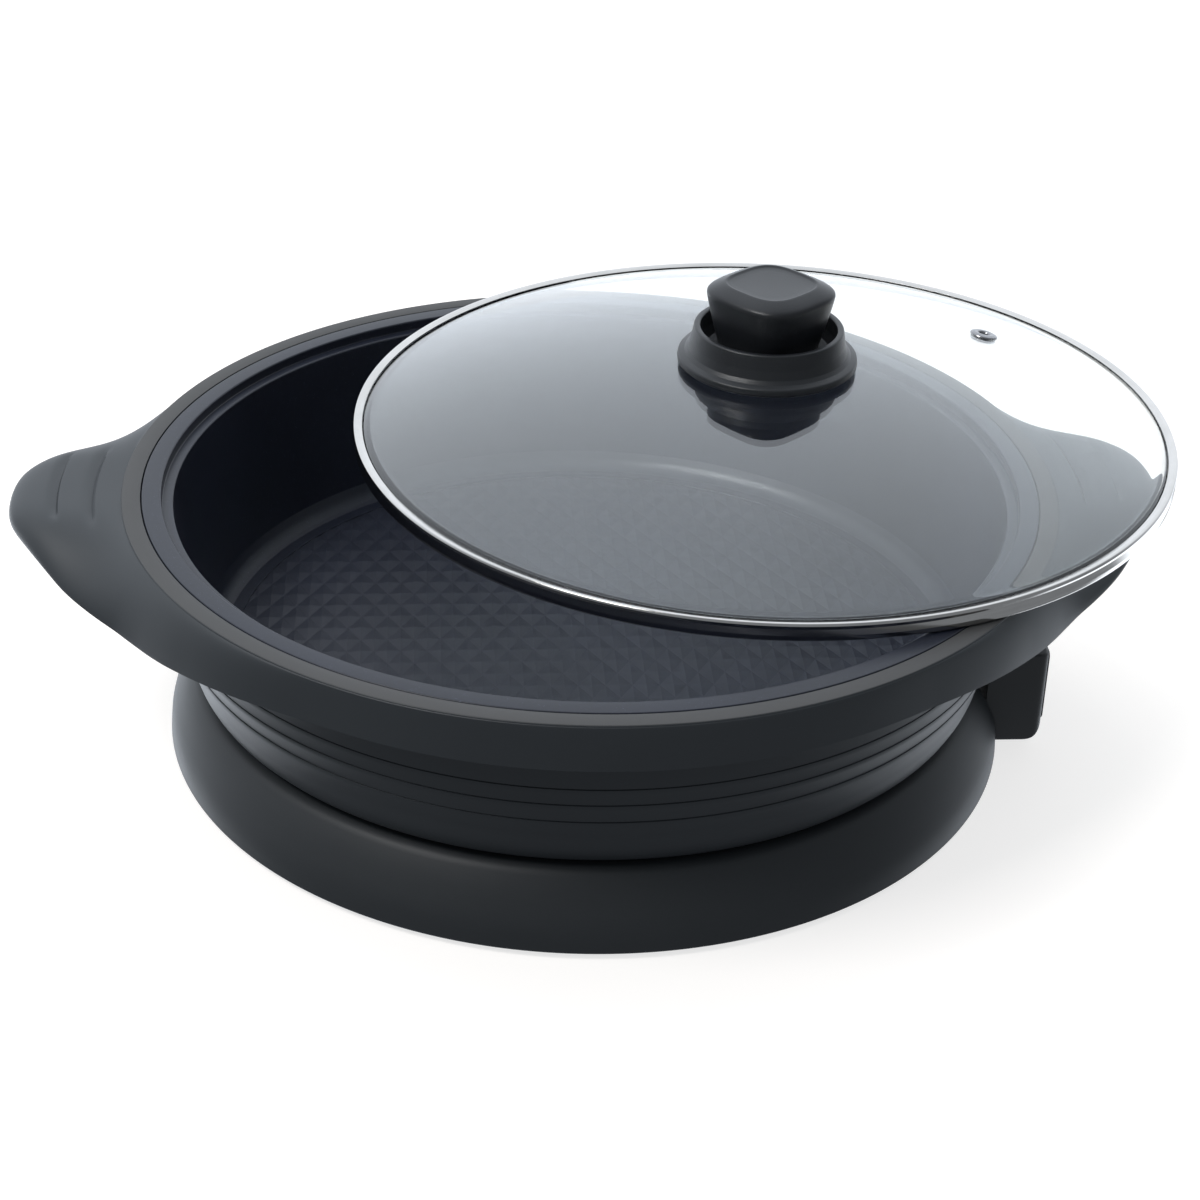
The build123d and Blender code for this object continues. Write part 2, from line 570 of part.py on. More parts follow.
# ---------------------------------------------------------------- underside
foot_spots = ring_points(4, 148.0, 45.0)
plate_hole_r = 4.1
with BuildPart() as bottom_plate:
    with Locations((0, 0, BOTTOM_PLATE_Z)):
        Cylinder(165.2, BOTTOM_PLATE_T, align=(Align.CENTER, Align.CENTER, Align.MIN))
    with Locations((shroud_in_x - 0.4, 0, 0)):
        Box(40.0, 2 * SHROUD_HALF + 1.0, 20.0, align=(Align.MIN, Align.CENTER, Align.CENTER),
            mode=Mode.SUBTRACT)
    with Locations([(x, y, 0) for x, y in foot_spots]):
        Cylinder(plate_hole_r, 20.0, mode=Mode.SUBTRACT)
    with Locations([(x, y, 0) for x, y in bottom_screw_spots]):
        Cylinder(1.8, 20.0, mode=Mode.SUBTRACT)
    with BuildSketch(Plane.XY):
        with PolarLocations(75.0, 12):
            SlotOverall(34.0, 4.5)
    extrude(amount=20.0, mode=Mode.SUBTRACT)
save(bottom_plate.part, "bottom_plate")

with BuildPart() as one_foot:
    with BuildSketch(Plane.XZ):
        with BuildLine():
            Polyline((0, 0), (8.4, 0), (9.2, 0.8), (9.6, BOTTOM_PLATE_Z), (plate_hole_r, BOTTOM_PLATE_Z),
                     (plate_hole_r, BOTTOM_PLATE_Z + BOTTOM_PLATE_T),
                     (5.2, BOTTOM_PLATE_Z + BOTTOM_PLATE_T), (4.2, 6.4), (0, 6.4), (0, 0))
        make_face()
    revolve(axis=Axis.Z)
screw_group(one_foot.part, [(x, y, 0) for x, y in foot_spots], "rubber_feet")
screw_group(screw(3.0, 1.8, 1.5, 12.0), [(x, y, BOTTOM_PLATE_Z) for x, y in bottom_screw_spots],
            "bottom_screws")

# ---------------------------------------------------------------- lid
lid_axis = Axis((LID_X, LID_Y, 0), (0, 0, 1))
lid_plane = Plane(origin=(LID_X, LID_Y, LID_Z), x_dir=(1, 0, 0), z_dir=(0, -1, 0))
dome_foot_r = 158.0
dome_foot_h = 6.6
dome_r = (dome_foot_r ** 2 + (GLASS_CROWN - dome_foot_h) ** 2) / (2 * (GLASS_CROWN - dome_foot_h))


def glass_top(r):
    """Height of the glass's outer face above the lid's lower edge, at radius r."""
    return GLASS_CROWN - dome_r + sqrt(dome_r ** 2 - r ** 2)


def glass_under(r):
    """Height of the glass's inner face above the lid's lower edge, at radius r."""
    return GLASS_CROWN - dome_r + sqrt((dome_r - GLASS_T) ** 2 - r ** 2)


vent_x = VENT_R * cos(radians(VENT_TURN))
vent_y = VENT_R * sin(radians(VENT_TURN))
vent_plane = Plane(
    origin=(LID_X + vent_x, LID_Y + vent_y, LID_Z + glass_top(VENT_R)),
    z_dir=(vent_x / dome_r, vent_y / dome_r, sqrt(1 - (VENT_R / dome_r) ** 2)))
edge_r = LID_R - 0.8
inner_foot_r = 156.8

with BuildPart() as lid_glass:
    with BuildSketch(lid_plane):
        with BuildLine():
            ThreePointArc((0, GLASS_CROWN), (80.0, glass_top(80.0)), (dome_foot_r, dome_foot_h))
            Polyline((dome_foot_r, dome_foot_h), (160.5, 6.3), (edge_r, 6.3), (edge_r, 2.4), (159.5, 2.4),
                     (inner_foot_r, glass_under(inner_foot_r)))
            ThreePointArc((inner_foot_r, glass_under(inner_foot_r)), (80.0, glass_under(80.0)),
                          (0, GLASS_CROWN - GLASS_T))
            Line((0, GLASS_CROWN - GLASS_T), (0, GLASS_CROWN))
        make_face()
    revolve(axis=lid_axis)
    with Locations((LID_X, LID_Y, LID_Z + GLASS_CROWN)):
        Cylinder(4.2, 20.0, mode=Mode.SUBTRACT)
    with Locations(vent_plane):
        Cylinder(3.3, 20.0, mode=Mode.SUBTRACT)
save(lid_glass.part, "lid_glass")

sheet = 0.6
with BuildPart() as lid_rim_band:
    with BuildSketch(lid_plane):
        with BuildLine():
            Polyline((162.6, 0), (LID_R - 1.0, 0), (LID_R, 1.0), (LID_R, LID_BAND_H - 1.0),
                     (LID_R - 1.0, LID_BAND_H), (162.8, LID_BAND_H), (162.4, LID_BAND_H - sheet),
                     (LID_R - sheet, LID_BAND_H - sheet), (LID_R - sheet, sheet), (162.6, sheet),
                     (162.6, 0))
        make_face()
    revolve(axis=lid_axis)
save(lid_rim_band.part, "lid_rim_band")

with BuildPart() as vent_eyelet:
    with BuildSketch(Plane(origin=vent_plane.origin, x_dir=vent_plane.x_dir, z_dir=-vent_plane.y_dir)):
        with BuildLine():
            Polyline((2.2, -4.9), (5.4, -4.9), (5.4, -GLASS_T - 0.06), (3.2, -GLASS_T - 0.06), (3.2, 0.02),
                     (6.0, 0.02), (5.0, 0.9), (2.8, 1.1), (2.2, 0.7), (2.2, -4.9))
        make_face()
    revolve(axis=Axis(vent_plane.origin, vent_plane.z_dir))
save(vent_eyelet.part, "vent_eyelet")

stem_r = 3.2
seat_r = 26.0
gasket_t = 0.9
collar_low = glass_top(10.0) + gasket_t
with BuildPart() as knob_gasket:
    with BuildSketch(lid_plane):
        with BuildLine():
            ThreePointArc((10.0, glass_top(10.0) + 0.02), (18.0, glass_top(18.0) + 0.02),
                          (seat_r, glass_top(seat_r) + 0.02))
            Polyline((seat_r, glass_top(seat_r) + 0.02), (seat_r, collar_low), (10.0, collar_low),
                     (10.0, glass_top(10.0) + 0.02))
        make_face()
    revolve(axis=lid_axis)
save(knob_gasket.part, "knob_gasket")

collar_top = 48.0
cup_floor = 37.2
with BuildPart() as knob_collar:
    with BuildSketch(lid_plane):
        with BuildLine():
            Polyline((stem_r, collar_low), (28.0, collar_low), (34.8, 32.6), (36.2, 34.4), (35.9, 35.9),
                     (34.2, 37.0), (31.6, 39.0), (30.6, 41.5), (29.8, collar_top - 0.7),
                     (29.2, collar_top), (27.6, collar_top), (27.0, collar_top - 0.6), (25.6, 39.0),
                     (24.0, cup_floor), (stem_r, cup_floor), (stem_r, collar_low))
        make_face()
    revolve(axis=lid_axis)
save(knob_collar.part, "knob_collar")

grip_levels = [(cup_floor + 0.05, 35.4, 11.0), (46.0, 38.6, 11.8), (56.0, 43.2, 12.8), (62.4, 45.0, 13.2)]
bevel_levels = [(62.4, 45.0, 13.2), (64.4, 43.4, 13.0), (66.4, 35.6, 11.6)]
with BuildPart() as knob_grip:
    for levels in (grip_levels, bevel_levels):
        for height, side, corner_r in levels:
            turned = Plane(origin=(LID_X, LID_Y, LID_Z + height), z_dir=(0, 0, 1)).rotated((0, 0, KNOB_TURN))
            with BuildSketch(turned):
                RectangleRounded(side, side, corner_r)
        loft()
    top_plane = Plane(origin=(LID_X, LID_Y, LID_Z + 66.4), z_dir=(0, 0, 1)).rotated((0, 0, KNOB_TURN))
    with BuildSketch(top_plane):
        RectangleRounded(31.0, 31.0, 10.5)
    extrude(amount=-0.7, mode=Mode.SUBTRACT)
    with Locations((LID_X, LID_Y, LID_Z + cup_floor)):
        Cylinder(2.55, 16.0, align=(Align.CENTER, Align.CENTER, Align.MIN), mode=Mode.SUBTRACT)
save(knob_grip.part, "knob_grip")

washer_t = 1.2
washer_top = glass_under(9.0) - 0.02
with BuildPart() as knob_washer:
    with Locations((LID_X, LID_Y, LID_Z + washer_top)):
        Cylinder(9.0, washer_t, align=(Align.CENTER, Align.CENTER, Align.MAX))
        Cylinder(2.7, 10.0, mode=Mode.SUBTRACT)
save(knob_washer.part, "knob_washer")
knob_screw_z = washer_top - washer_t
save(screw(4.6, 2.4, 2.5, cup_floor + 14.0 - knob_screw_z)
     .moved(Location((LID_X, LID_Y, LID_Z + knob_screw_z))), "knob_screw")
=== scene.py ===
import math

import bpy
import bmesh
import numpy as np
from mathutils import Matrix, Vector


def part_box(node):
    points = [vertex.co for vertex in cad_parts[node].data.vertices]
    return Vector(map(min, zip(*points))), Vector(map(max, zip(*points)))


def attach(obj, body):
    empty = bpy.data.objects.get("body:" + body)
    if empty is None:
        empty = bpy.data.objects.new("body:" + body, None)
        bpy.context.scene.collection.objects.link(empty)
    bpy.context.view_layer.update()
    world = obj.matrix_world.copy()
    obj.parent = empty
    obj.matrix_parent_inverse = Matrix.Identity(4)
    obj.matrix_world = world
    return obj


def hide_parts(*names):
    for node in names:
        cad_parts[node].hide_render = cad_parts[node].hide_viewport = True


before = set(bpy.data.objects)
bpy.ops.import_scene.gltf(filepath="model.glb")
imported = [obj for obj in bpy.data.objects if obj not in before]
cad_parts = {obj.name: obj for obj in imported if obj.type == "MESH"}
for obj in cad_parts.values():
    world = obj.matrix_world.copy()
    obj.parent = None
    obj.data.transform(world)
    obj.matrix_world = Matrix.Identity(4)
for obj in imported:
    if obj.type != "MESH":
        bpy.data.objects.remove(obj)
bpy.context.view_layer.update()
MM = 0.001

# ---------------------------------------------------------------- places, taken from the frame
shell_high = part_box("outer_shell")[1]
RIM_Z = shell_high.z / MM
HANDLE_TIP = shell_high.x / MM
band_low, band_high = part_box("lid_rim_band")
LID_AT = ((band_low.x + band_high.x) / 2 / MM, (band_low.y + band_high.y) / 2 / MM, band_low.z / MM)
LID_R = (band_high.x - band_low.x) / 2 / MM
GLASS_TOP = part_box("lid_glass")[1].z / MM - LID_AT[2]
skirt_low, skirt_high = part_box("base_skirt")
SKIRT_R = skirt_high.y / MM
SKIRT_LOW = skirt_low.z / MM
box_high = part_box("connector_shroud")[1]
BOX_FACE = box_high.x / MM + 1.8    # the visible box stands this much proud of the frame's
BOX_HALF = box_high.y / MM + 1.2
BOX_TOP = box_high.z / MM
eyelet_low, eyelet_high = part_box("vent_eyelet")
PAN_FLANGE_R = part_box("pan")[1].x / MM


# ---------------------------------------------------------------- mesh helpers
def piece(name, verts, faces, body, replaced=(), sharp=40.0):
    """A mesh from points in millimetres, smooth but for edges sharper than `sharp` degrees."""
    mesh = bpy.data.meshes.new(name)
    mesh.from_pydata([(x * MM, y * MM, z * MM) for x, y, z in verts], [], faces)
    mesh.update()
    bm = bmesh.new()
    bm.from_mesh(mesh)
    bmesh.ops.remove_doubles(bm, verts=bm.verts, dist=1e-7)
    bmesh.ops.recalc_face_normals(bm, faces=bm.faces)
    bm.to_mesh(mesh)
    bm.free()
    for polygon in mesh.polygons:
        polygon.use_smooth = True
    mesh.set_sharp_from_angle(angle=math.radians(sharp))
    obj = bpy.data.objects.new(name, mesh)
    bpy.context.scene.collection.objects.link(obj)
    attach(obj, body)
    if replaced:
        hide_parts(*replaced)
    return obj


def rounded(corners, steps=5):
    """A closed outline from (a, b, radius) corners, each corner turned into an arc."""
    out = []
    count = len(corners)
    for i, (a, b, radius) in enumerate(corners):
        here = Vector((a, b))
        before = Vector(corners[i - 1][:2]) - here
        after = Vector(corners[(i + 1) % count][:2]) - here
        if radius <= 0 or before.length < 1e-6 or after.length < 1e-6:
            out.append((a, b))
            continue
        half = before.angle(after) / 2
        if half > math.radians(88):
            out.append((a, b))
            continue
        reach = min(radius / math.tan(half), before.length * 0.48, after.length * 0.48)
        radius = reach * math.tan(half)
        start = here + before.normalized() * reach
        end = here + after.normalized() * reach
        middle = here + (before.normalized() + after.normalized()).normalized() * (radius / math.sin(half))
        a0 = math.atan2(start.y - middle.y, start.x - middle.x)
        a1 = math.atan2(end.y - middle.y, end.x - middle.x)
        turn = (a1 - a0 + math.pi) % (2 * math.pi) - math.pi
        for k in range(steps + 1):
            angle = a0 + turn * k / steps
            out.append((middle.x + radius * math.cos(angle), middle.y + radius * math.sin(angle)))
    return out


def turned(name, outline, body, replaced=(), at=(0.0, 0.0, 0.0), segments=256, sharp=40.0, tilt=None):
    """A closed (radius, height) outline turned about a vertical axis, or about a tilted one."""
    verts, faces = [], []
    count = len(outline)
    for s in range(segments):
        angle = 2 * math.pi * s / segments
        for r, z in outline:
            point = Vector((max(r, 0.0) * math.cos(angle), max(r, 0.0) * math.sin(angle), z))
            if tilt is not None:
                point = tilt @ point
            verts.append((point.x + at[0], point.y + at[1], point.z + at[2]))
    for s in range(segments):
        here, there = s * count, (s + 1) % segments * count
        for k in range(count):
            n = (k + 1) % count
            on_axis = outline[k][0] <= 1e-9, outline[n][0] <= 1e-9
            if all(on_axis):
                continue
            if on_axis[0]:
                faces.append((here + k, here + n, there + n))
            elif on_axis[1]:
                faces.append((here + k, here + n, there + k))
            else:
                faces.append((here + k, here + n, there + n, there + k))
    return piece(name, verts, faces, body, replaced, sharp)


def lofted(name, columns, body, replaced=(), around=True, caps=False, sharp=40.0):
    """Closed loops of equal length skinned in order, joined end to start or capped."""
    size = len(columns[0])
    verts = [p for column in columns for p in column]
    faces = []
    last = len(columns) if around else len(columns) - 1
    for c in range(last):
        here, there = c * size, (c + 1) % len(columns) * size
        for k in range(size):
            n = (k + 1) % size
            faces.append((here + k, here + n, there + n, there + k))
    if caps:
        faces.append(tuple(range(size)))
        faces.append(tuple(range(len(verts) - size, len(verts)))[::-1])
    return piece(name, verts, faces, body, replaced, sharp)


def eased(x, low, high):
    """0 below low, 1 above high, smooth between."""
    t = min(max((x - low) / (high - low), 0.0), 1.0)
    return t * t * (3 - 2 * t)


def smooth_table(knots, values, width):
    """Samples a listed curve every quarter degree from 0 to 90, with its corners smoothed."""
    grid = np.arange(-30.0, 120.25, 0.25)
    line = np.interp(np.abs(grid), knots, values)
    reach = np.arange(-4 * width, 4 * width + 0.25, 0.25)
    weight = np.exp(-0.5 * (reach / width) ** 2)
    padded = np.pad(line, len(reach) // 2, mode="edge")
    soft = np.convolve(padded, weight / weight.sum(), mode="valid")
    return grid, soft[: len(grid)]


# ---------------------------------------------------------------- bowl shell with its two handles
TOP_START_R = 182.5
HANDLE_SKEW = 0.7         # turn of the handles' axis away from the connector's, in degrees
TOP_START_Z = -0.9
SHELL_WALL = 2.4
FALL_SHARE = 0.72         # most of the drop to the lip that the straight slope may take
ROOF_START_R = 178.0      # inner end of the skin's underside
CRESCENT_DEPTH = 1.5
COVER_GAP = 0.6
outline_turns = [0.0, 3.0, 4.9, 6.4, 8.6, 10.0, 12.3, 14.9, 19.6, 23.0, 26.5, 30.0, 35.3, 41.0, 47.0, 53.0,
                 57.0, 90.0]
outline_reach = [HANDLE_TIP - 0.4, HANDLE_TIP - 0.9, HANDLE_TIP - 2.3, HANDLE_TIP - 4.9, HANDLE_TIP - 8.4,
                 215.8, 212.2, 208.4, 200.6, 195.4, 192.4, 190.6, 188.4, 186.8, 185.0, 183.3, 183.0, 183.0]
lip_turns = [0.0, 6.0, 10.0, 14.9, 19.6, 25.3, 30.0, 35.3, 41.0, 47.0, 54.0, 90.0]
lip_height = [-14.0, -14.0, -14.8, -18.3, -22.0, -24.2, -24.0, -22.3, -20.3, -18.9, -18.0, -18.0]
fall_turns = [0.0, 8.0, 12.0, 15.2, 19.0, 24.0, 90.0]
fall_rate = [-0.03, -0.02, 0.15, 0.38, 0.65, 0.9, 0.9]
round_turns = [0.0, 8.0, 12.0, 15.0, 90.0]
round_power = [6.0, 5.0, 2.8, 2.2, 2.2]
tuck_turns = [0.0, 5.0, 10.0, 15.0, 90.0]
tuck_depth = [5.5, 5.5, 3.4, 0.6, 0.0]
reach_curve = smooth_table(outline_turns, outline_reach, 0.9)
lip_curve = smooth_table(lip_turns, lip_height, 3.2)
fall_curve = smooth_table(fall_turns, fall_rate, 1.6)
round_curve = smooth_table(round_turns, round_power, 1.4)
tuck_curve = smooth_table(tuck_turns, tuck_depth, 1.4)
WALL_STEPS = ((166.1, 71.2), (165.2, 64.0), (162.9, 55.4))
CRESCENTS = ((192.0, 24.0, 37.0), (206.0, 20.0, 32.0))


def handle_top(r, shape):
    """Height below the rim of the shell's upper skin at radius r."""
    reach, lip, fall, power = shape
    width = reach - TOP_START_R
    u = min(max((r - TOP_START_R) / width, 0.0), 1.0)
    slope = min(fall * width, FALL_SHARE * (-lip + TOP_START_Z))
    rest = -lip + TOP_START_Z - slope
    return TOP_START_Z - slope * u - rest * (1 - math.sqrt(max(1 - u ** power, 0.0)))


def evenly(points, count):
    """`count` points spaced evenly along a polyline, without its last one."""
    line = np.array(points)
    steps = np.hypot(*np.diff(line, axis=0).T)
    along = np.concatenate([[0.0], np.cumsum(steps)])
    want = np.linspace(0.0, along[-1], count + 1)[:-1]
    return [(float(np.interp(w, along, line[:, 0])), float(np.interp(w, along, line[:, 1]))) for w in want]


def shell_section(turn):
    """Closed (r, z) outline of the shell, `turn` degrees away from the handles' axis."""
    curves = (reach_curve, lip_curve, fall_curve, round_curve, tuck_curve)
    reach, lip, fall, power, tuck = [float(np.interp(turn, *curve)) for curve in curves]
    widest = lip + tuck
    shape = reach, widest, fall, power
    width = reach - TOP_START_R
    marks = [TOP_START_R] + [min(r, TOP_START_R + share * width) for (r, _, _), share in
                             zip(CRESCENTS, (0.35, 0.62))] + [reach]
    skin = [(175.0, -4.4), (175.0, -0.35), (175.12, -0.1), (175.4, 0.0), (178.5, 0.0), (181.5, 0.0),
            (182.0, -0.12), (182.25, -0.4), (182.3, -0.75)]
    for part, (start, end) in enumerate(zip(marks, marks[1:])):
        share = [1 - (1 - k / 60) ** 2 if part == 2 else k / 60 for k in range(61)]
        radii = [start + (end - start) * s for s in share]
        fine = [(r, handle_top(r, shape)) for r in radii]
        skin += evenly(fine, (8, 10, 26)[part])
    y_side = [math.sin(math.radians(turn)) * r for r, _ in skin]
    sunk = []
    for (r, z), y in zip(skin, y_side):
        for (line_r, full, gone), mark in zip(CRESCENTS, marks[1:3]):
            if r > TOP_START_R and mark > line_r - 1e-6:
                edge = eased(r, line_r - 0.05, line_r + 0.45) * (1 - eased(r, line_r + 0.7, line_r + 5.5))
                z -= CRESCENT_DEPTH * edge * (1 - eased(y, full * 0.9, gone))
        sunk.append((r, z))
    bend = [(math.sin(math.radians(a)), math.cos(math.radians(a))) for a in (0, 15, 30, 45, 60, 75)]
    under = [(reach - tuck * (1 - c), widest - (widest - lip - 0.5) * s) for s, c in bend]
    edge = reach - tuck
    under += [(edge, lip + 0.5), (edge - 0.25, lip + 0.1), (edge - 0.8, lip), (edge - 1.7, lip),
              (edge - 2.2, lip + 0.2), (edge - SHELL_WALL, lip + 0.7)]
    inner = edge - SHELL_WALL - 0.2
    roof = []
    for share in (1.0, 0.97, 0.92, 0.84, 0.7, 0.5, 0.25, 0.0):
        r = ROOF_START_R + (inner - ROOF_START_R) * share
        roof.append((r, max(handle_top(max(r, TOP_START_R), shape) - SHELL_WALL - 0.2, lip + 1.2)))
    wall = [(177.4, -4.8), (177.4, -7.0), (177.0, -7.5), (172.2, -7.6), (171.2, -8.2), (169.6, -10.5),
            (168.6, -13.0), (167.6, -17.5), (167.0, -22.0), (166.6, -28.0)]
    for r, z in WALL_STEPS:
        down = z - RIM_Z
        wall += [(r + 0.03, down + 1.4), (r, down + 0.3), (r - 0.07, down + 0.2), (r - 0.36, down + 0.1),
                 (r - 0.38, down - 0.02), (r + 0.05, down - 0.24), (r + 0.08, down - 0.36),
                 (r - 0.2, down - 2.4)]
    wall += [(160.9, -59.5), (160.3, -63.0), (159.5, -66.5), (158.6, -69.3), (157.3, -71.9), (155.4, -73.9),
             (153.2, -75.1), (150.8, -75.8), (149.3, -76.5), (149.0, -77.4), (149.0, -79.9), (148.6, -80.2),
             (120.3, -80.2), (120.0, -79.9), (120.0, -77.9), (120.3, -77.6), (146.4, -77.6), (150.5, -74.2),
             (155.6, -69.8), (157.7, -65.0), (158.4, -60.0), (160.3, -53.0), (162.5, -44.5), (163.4, -37.0),
             (164.8, -22.0), (169.2, -9.0), (169.2, -4.6), (169.4, -4.4)]
    return sunk + under + roof + wall


columns = []
SHELL_COLUMNS = 512
for c in range(SHELL_COLUMNS):
    angle = 360.0 * c / SHELL_COLUMNS
    turn = min((angle - HANDLE_SKEW) % 180.0, 180.0 - (angle - HANDLE_SKEW) % 180.0)
    direction = math.cos(math.radians(angle)), math.sin(math.radians(angle))
    columns.append([(r * direction[0], r * direction[1], RIM_Z + z) for r, z in shell_section(turn)])
bowl_shell = lofted("bowl_shell", columns, "bowl", ("outer_shell",), sharp=32.0)

# ---------------------------------------------------------------- handle covers
def trimmed_cover(name, node_name):
    """The handle's underside cover, drawn in where it would pass the handle's lower edge."""
    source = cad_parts[node_name]
    mesh = source.data.copy()
    mesh.materials.clear()
    for vertex in mesh.vertices:
        point = source.matrix_world @ vertex.co
        angle = math.degrees(math.atan2(point.y, point.x)) - HANDLE_SKEW
        turn = min(angle % 180.0, 180.0 - angle % 180.0)
        reach, tuck = [float(np.interp(turn, *curve)) for curve in (reach_curve, tuck_curve)]
        limit = (reach - tuck - SHELL_WALL - COVER_GAP) * MM
        far = math.hypot(point.x, point.y)
        if far > limit:
            point.x, point.y = point.x * limit / far, point.y * limit / far
        vertex.co = point
    mesh.name = name
    obj = bpy.data.objects.new(name, mesh)
    bpy.context.scene.collection.objects.link(obj)
    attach(obj, "bowl")
    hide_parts(node_name)
    return obj


handle_covers = [trimmed_cover("right_cover", "right_handle_cover"),
                 trimmed_cover("left_cover", "left_handle_cover")]

# ---------------------------------------------------------------- pan
RELIEF_R = 142.4
FLOOR = 34.5
RELIEF_LEVEL = FLOOR - 0.68
RELIEF_MIDDLE = FLOOR - 0.37     # height that parts the high corners from the low ones
pan_outline = rounded([
    (0.0, 28.0, 0), (107.0, 28.0, 0.5), (109.0, 31.0, 0.5), (138.7, 31.0, 3.0), (152.0, 36.2, 9.0),
    (157.9, 47.2, 6.0), (164.6, 99.5, 1.0), (168.5, 101.5, 0.5), (168.5, 104.0, 0.5),
    (PAN_FLANGE_R, 104.0, 0.3), (PAN_FLANGE_R, RIM_Z, 0.5), (167.0, RIM_Z, 0.7), (167.0, 104.0, 0.35),
    (162.7, 104.0, 0.8), (161.9, 96.0, 20.0), (155.4, 45.1, 26.0), (153.6, FLOOR, 17.5),
    (RELIEF_R + 0.2, FLOOR, 0.2), (RELIEF_R, FLOOR - 1.0, 0.1), (0.0, FLOOR - 1.0, 0)], steps=9)
pan_body = turned("pan_body", pan_outline, "bowl", ("pan",), segments=320)


# ---------------------------------------------------------------- relief of the cooking surface
def group_tree(name, sockets):
    """An empty geometry node group with named inputs, and a function that adds nodes to it."""
    tree = bpy.data.node_groups.new(name, "GeometryNodeTree")
    tree.interface.new_socket(name="Geometry", in_out="INPUT", socket_type="NodeSocketGeometry")
    for label, kind, value in sockets:
        socket = tree.interface.new_socket(name=label, in_out="INPUT", socket_type=kind)
        if value is not None:
            socket.default_value = value
    tree.interface.new_socket(name="Geometry", in_out="OUTPUT", socket_type="NodeSocketGeometry")

    def add(kind, settings=None, inputs=None):
        node = tree.nodes.new(kind)
        for key, value in (settings or {}).items():
            setattr(node, key, value)
        for key, value in (inputs or {}).items():
            if isinstance(value, bpy.types.NodeSocket):
                tree.links.new(value, node.inputs[key])
            else:
                node.inputs[key].default_value = value
        return node

    def math_node(operation, *values):
        return add("ShaderNodeMath", {"operation": operation}, dict(enumerate(values))).outputs[0]

    return tree, add, math_node


def relief_tree(material):
    """Rows of low four-sided points inside a circle, cut off at its rim."""
    tree, add, calc = group_tree("relief_points", [
        ("Pitch X", "NodeSocketFloat", 0.0054), ("Pitch Y", "NodeSocketFloat", 0.00935),
        ("Height", "NodeSocketFloat", 0.0006), ("Radius", "NodeSocketFloat", 0.1),
        ("Level", "NodeSocketFloat", 0.0), ("Cells X", "NodeSocketInt", 54), ("Cells Y", "NodeSocketInt", 32)])
    given = add("NodeGroupInput").outputs
    wide = calc("MULTIPLY", given["Pitch X"], given["Cells X"])
    deep = calc("MULTIPLY", given["Pitch Y"], given["Cells Y"])
    grid = add("GeometryNodeMeshGrid", None, {
        "Size X": wide, "Size Y": deep, "Vertices X": calc("ADD", given["Cells X"], 1.0),
        "Vertices Y": calc("ADD", given["Cells Y"], 1.0)}).outputs["Mesh"]
    place = add("ShaderNodeSeparateXYZ", None, {0: add("GeometryNodeInputPosition").outputs[0]}).outputs
    column = calc("ROUND", calc("DIVIDE", place[0], given["Pitch X"]))
    row = calc("ROUND", calc("DIVIDE", place[1], given["Pitch Y"]))
    odd = calc("FLOORED_MODULO", calc("ADD", column, row), 2.0)
    peak = calc("SUBTRACT", 1.0, odd)
    rise = calc("ADD", given["Level"], calc("MULTIPLY", peak, given["Height"]))
    lift = add("ShaderNodeCombineXYZ", None, {2: rise}).outputs[0]
    raised = add("GeometryNodeSetPosition", None, {"Geometry": grid, "Offset": lift}).outputs[0]
    middle = add("ShaderNodeVectorMath", {"operation": "LENGTH"}, {
        0: add("GeometryNodeInputPosition").outputs[0]}).outputs["Value"]
    flat = calc("SQRT", calc("SUBTRACT", calc("MULTIPLY", middle, middle),
                             calc("MULTIPLY", given["Level"], given["Level"])))
    outside = add("FunctionNodeCompare", {"data_type": "FLOAT", "operation": "GREATER_THAN"}, {
        "A": flat, "B": given["Radius"]}).outputs[0]
    kept = add("GeometryNodeDeleteGeometry", {"domain": "FACE"}, {
        "Geometry": raised, "Selection": outside}).outputs[0]
    real = add("GeometryNodeRealizeInstances", None, {"Geometry": kept}).outputs[0]
    painted = add("GeometryNodeSetMaterial", None, {"Geometry": real, "Material": material}).outputs[0]
    out = add("NodeGroupOutput")
    tree.links.new(painted, out.inputs[0])
    return tree


def from_tree(name, tree, values, body):
    """Runs a geometry node group once and returns its result as a plain mesh piece."""
    host = bpy.data.objects.new(name + "_maker", bpy.data.meshes.new(name + "_maker"))
    bpy.context.scene.collection.objects.link(host)
    modifier = host.modifiers.new("maker", "NODES")
    modifier.node_group = tree
    for item in tree.interface.items_tree:
        if item.item_type == "SOCKET" and item.in_out == "INPUT" and item.name in values:
            modifier[item.identifier] = values[item.name]
    bpy.context.view_layer.update()
    graph = bpy.context.evaluated_depsgraph_get()
    mesh = bpy.data.meshes.new_from_object(host.evaluated_get(graph), depsgraph=graph)
    host.modifiers.remove(modifier)
    bpy.data.objects.remove(host)
    mesh.name = name
    obj = bpy.data.objects.new(name, mesh)
    bpy.context.scene.collection.objects.link(obj)
    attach(obj, body)
    return obj


# ---------------------------------------------------------------- materials
class Value:
    """A number socket of one material, with arithmetic that adds Math nodes."""

    def __init__(self, finish, socket):
        self.finish = finish
        self.socket = socket

    def _with(self, operation, *values):
        return self.finish.node("ShaderNodeMath", {"operation": operation}, dict(enumerate(values)))

    def __add__(self, other):
        return self._with("ADD", self, other)

    def __radd__(self, other):
        return self._with("ADD", other, self)

    def __sub__(self, other):
        return self._with("SUBTRACT", self, other)

    def __rsub__(self, other):
        return self._with("SUBTRACT", other, self)

    def __mul__(self, other):
        return self._with("MULTIPLY", self, other)

    def __rmul__(self, other):
        return self._with("MULTIPLY", other, self)


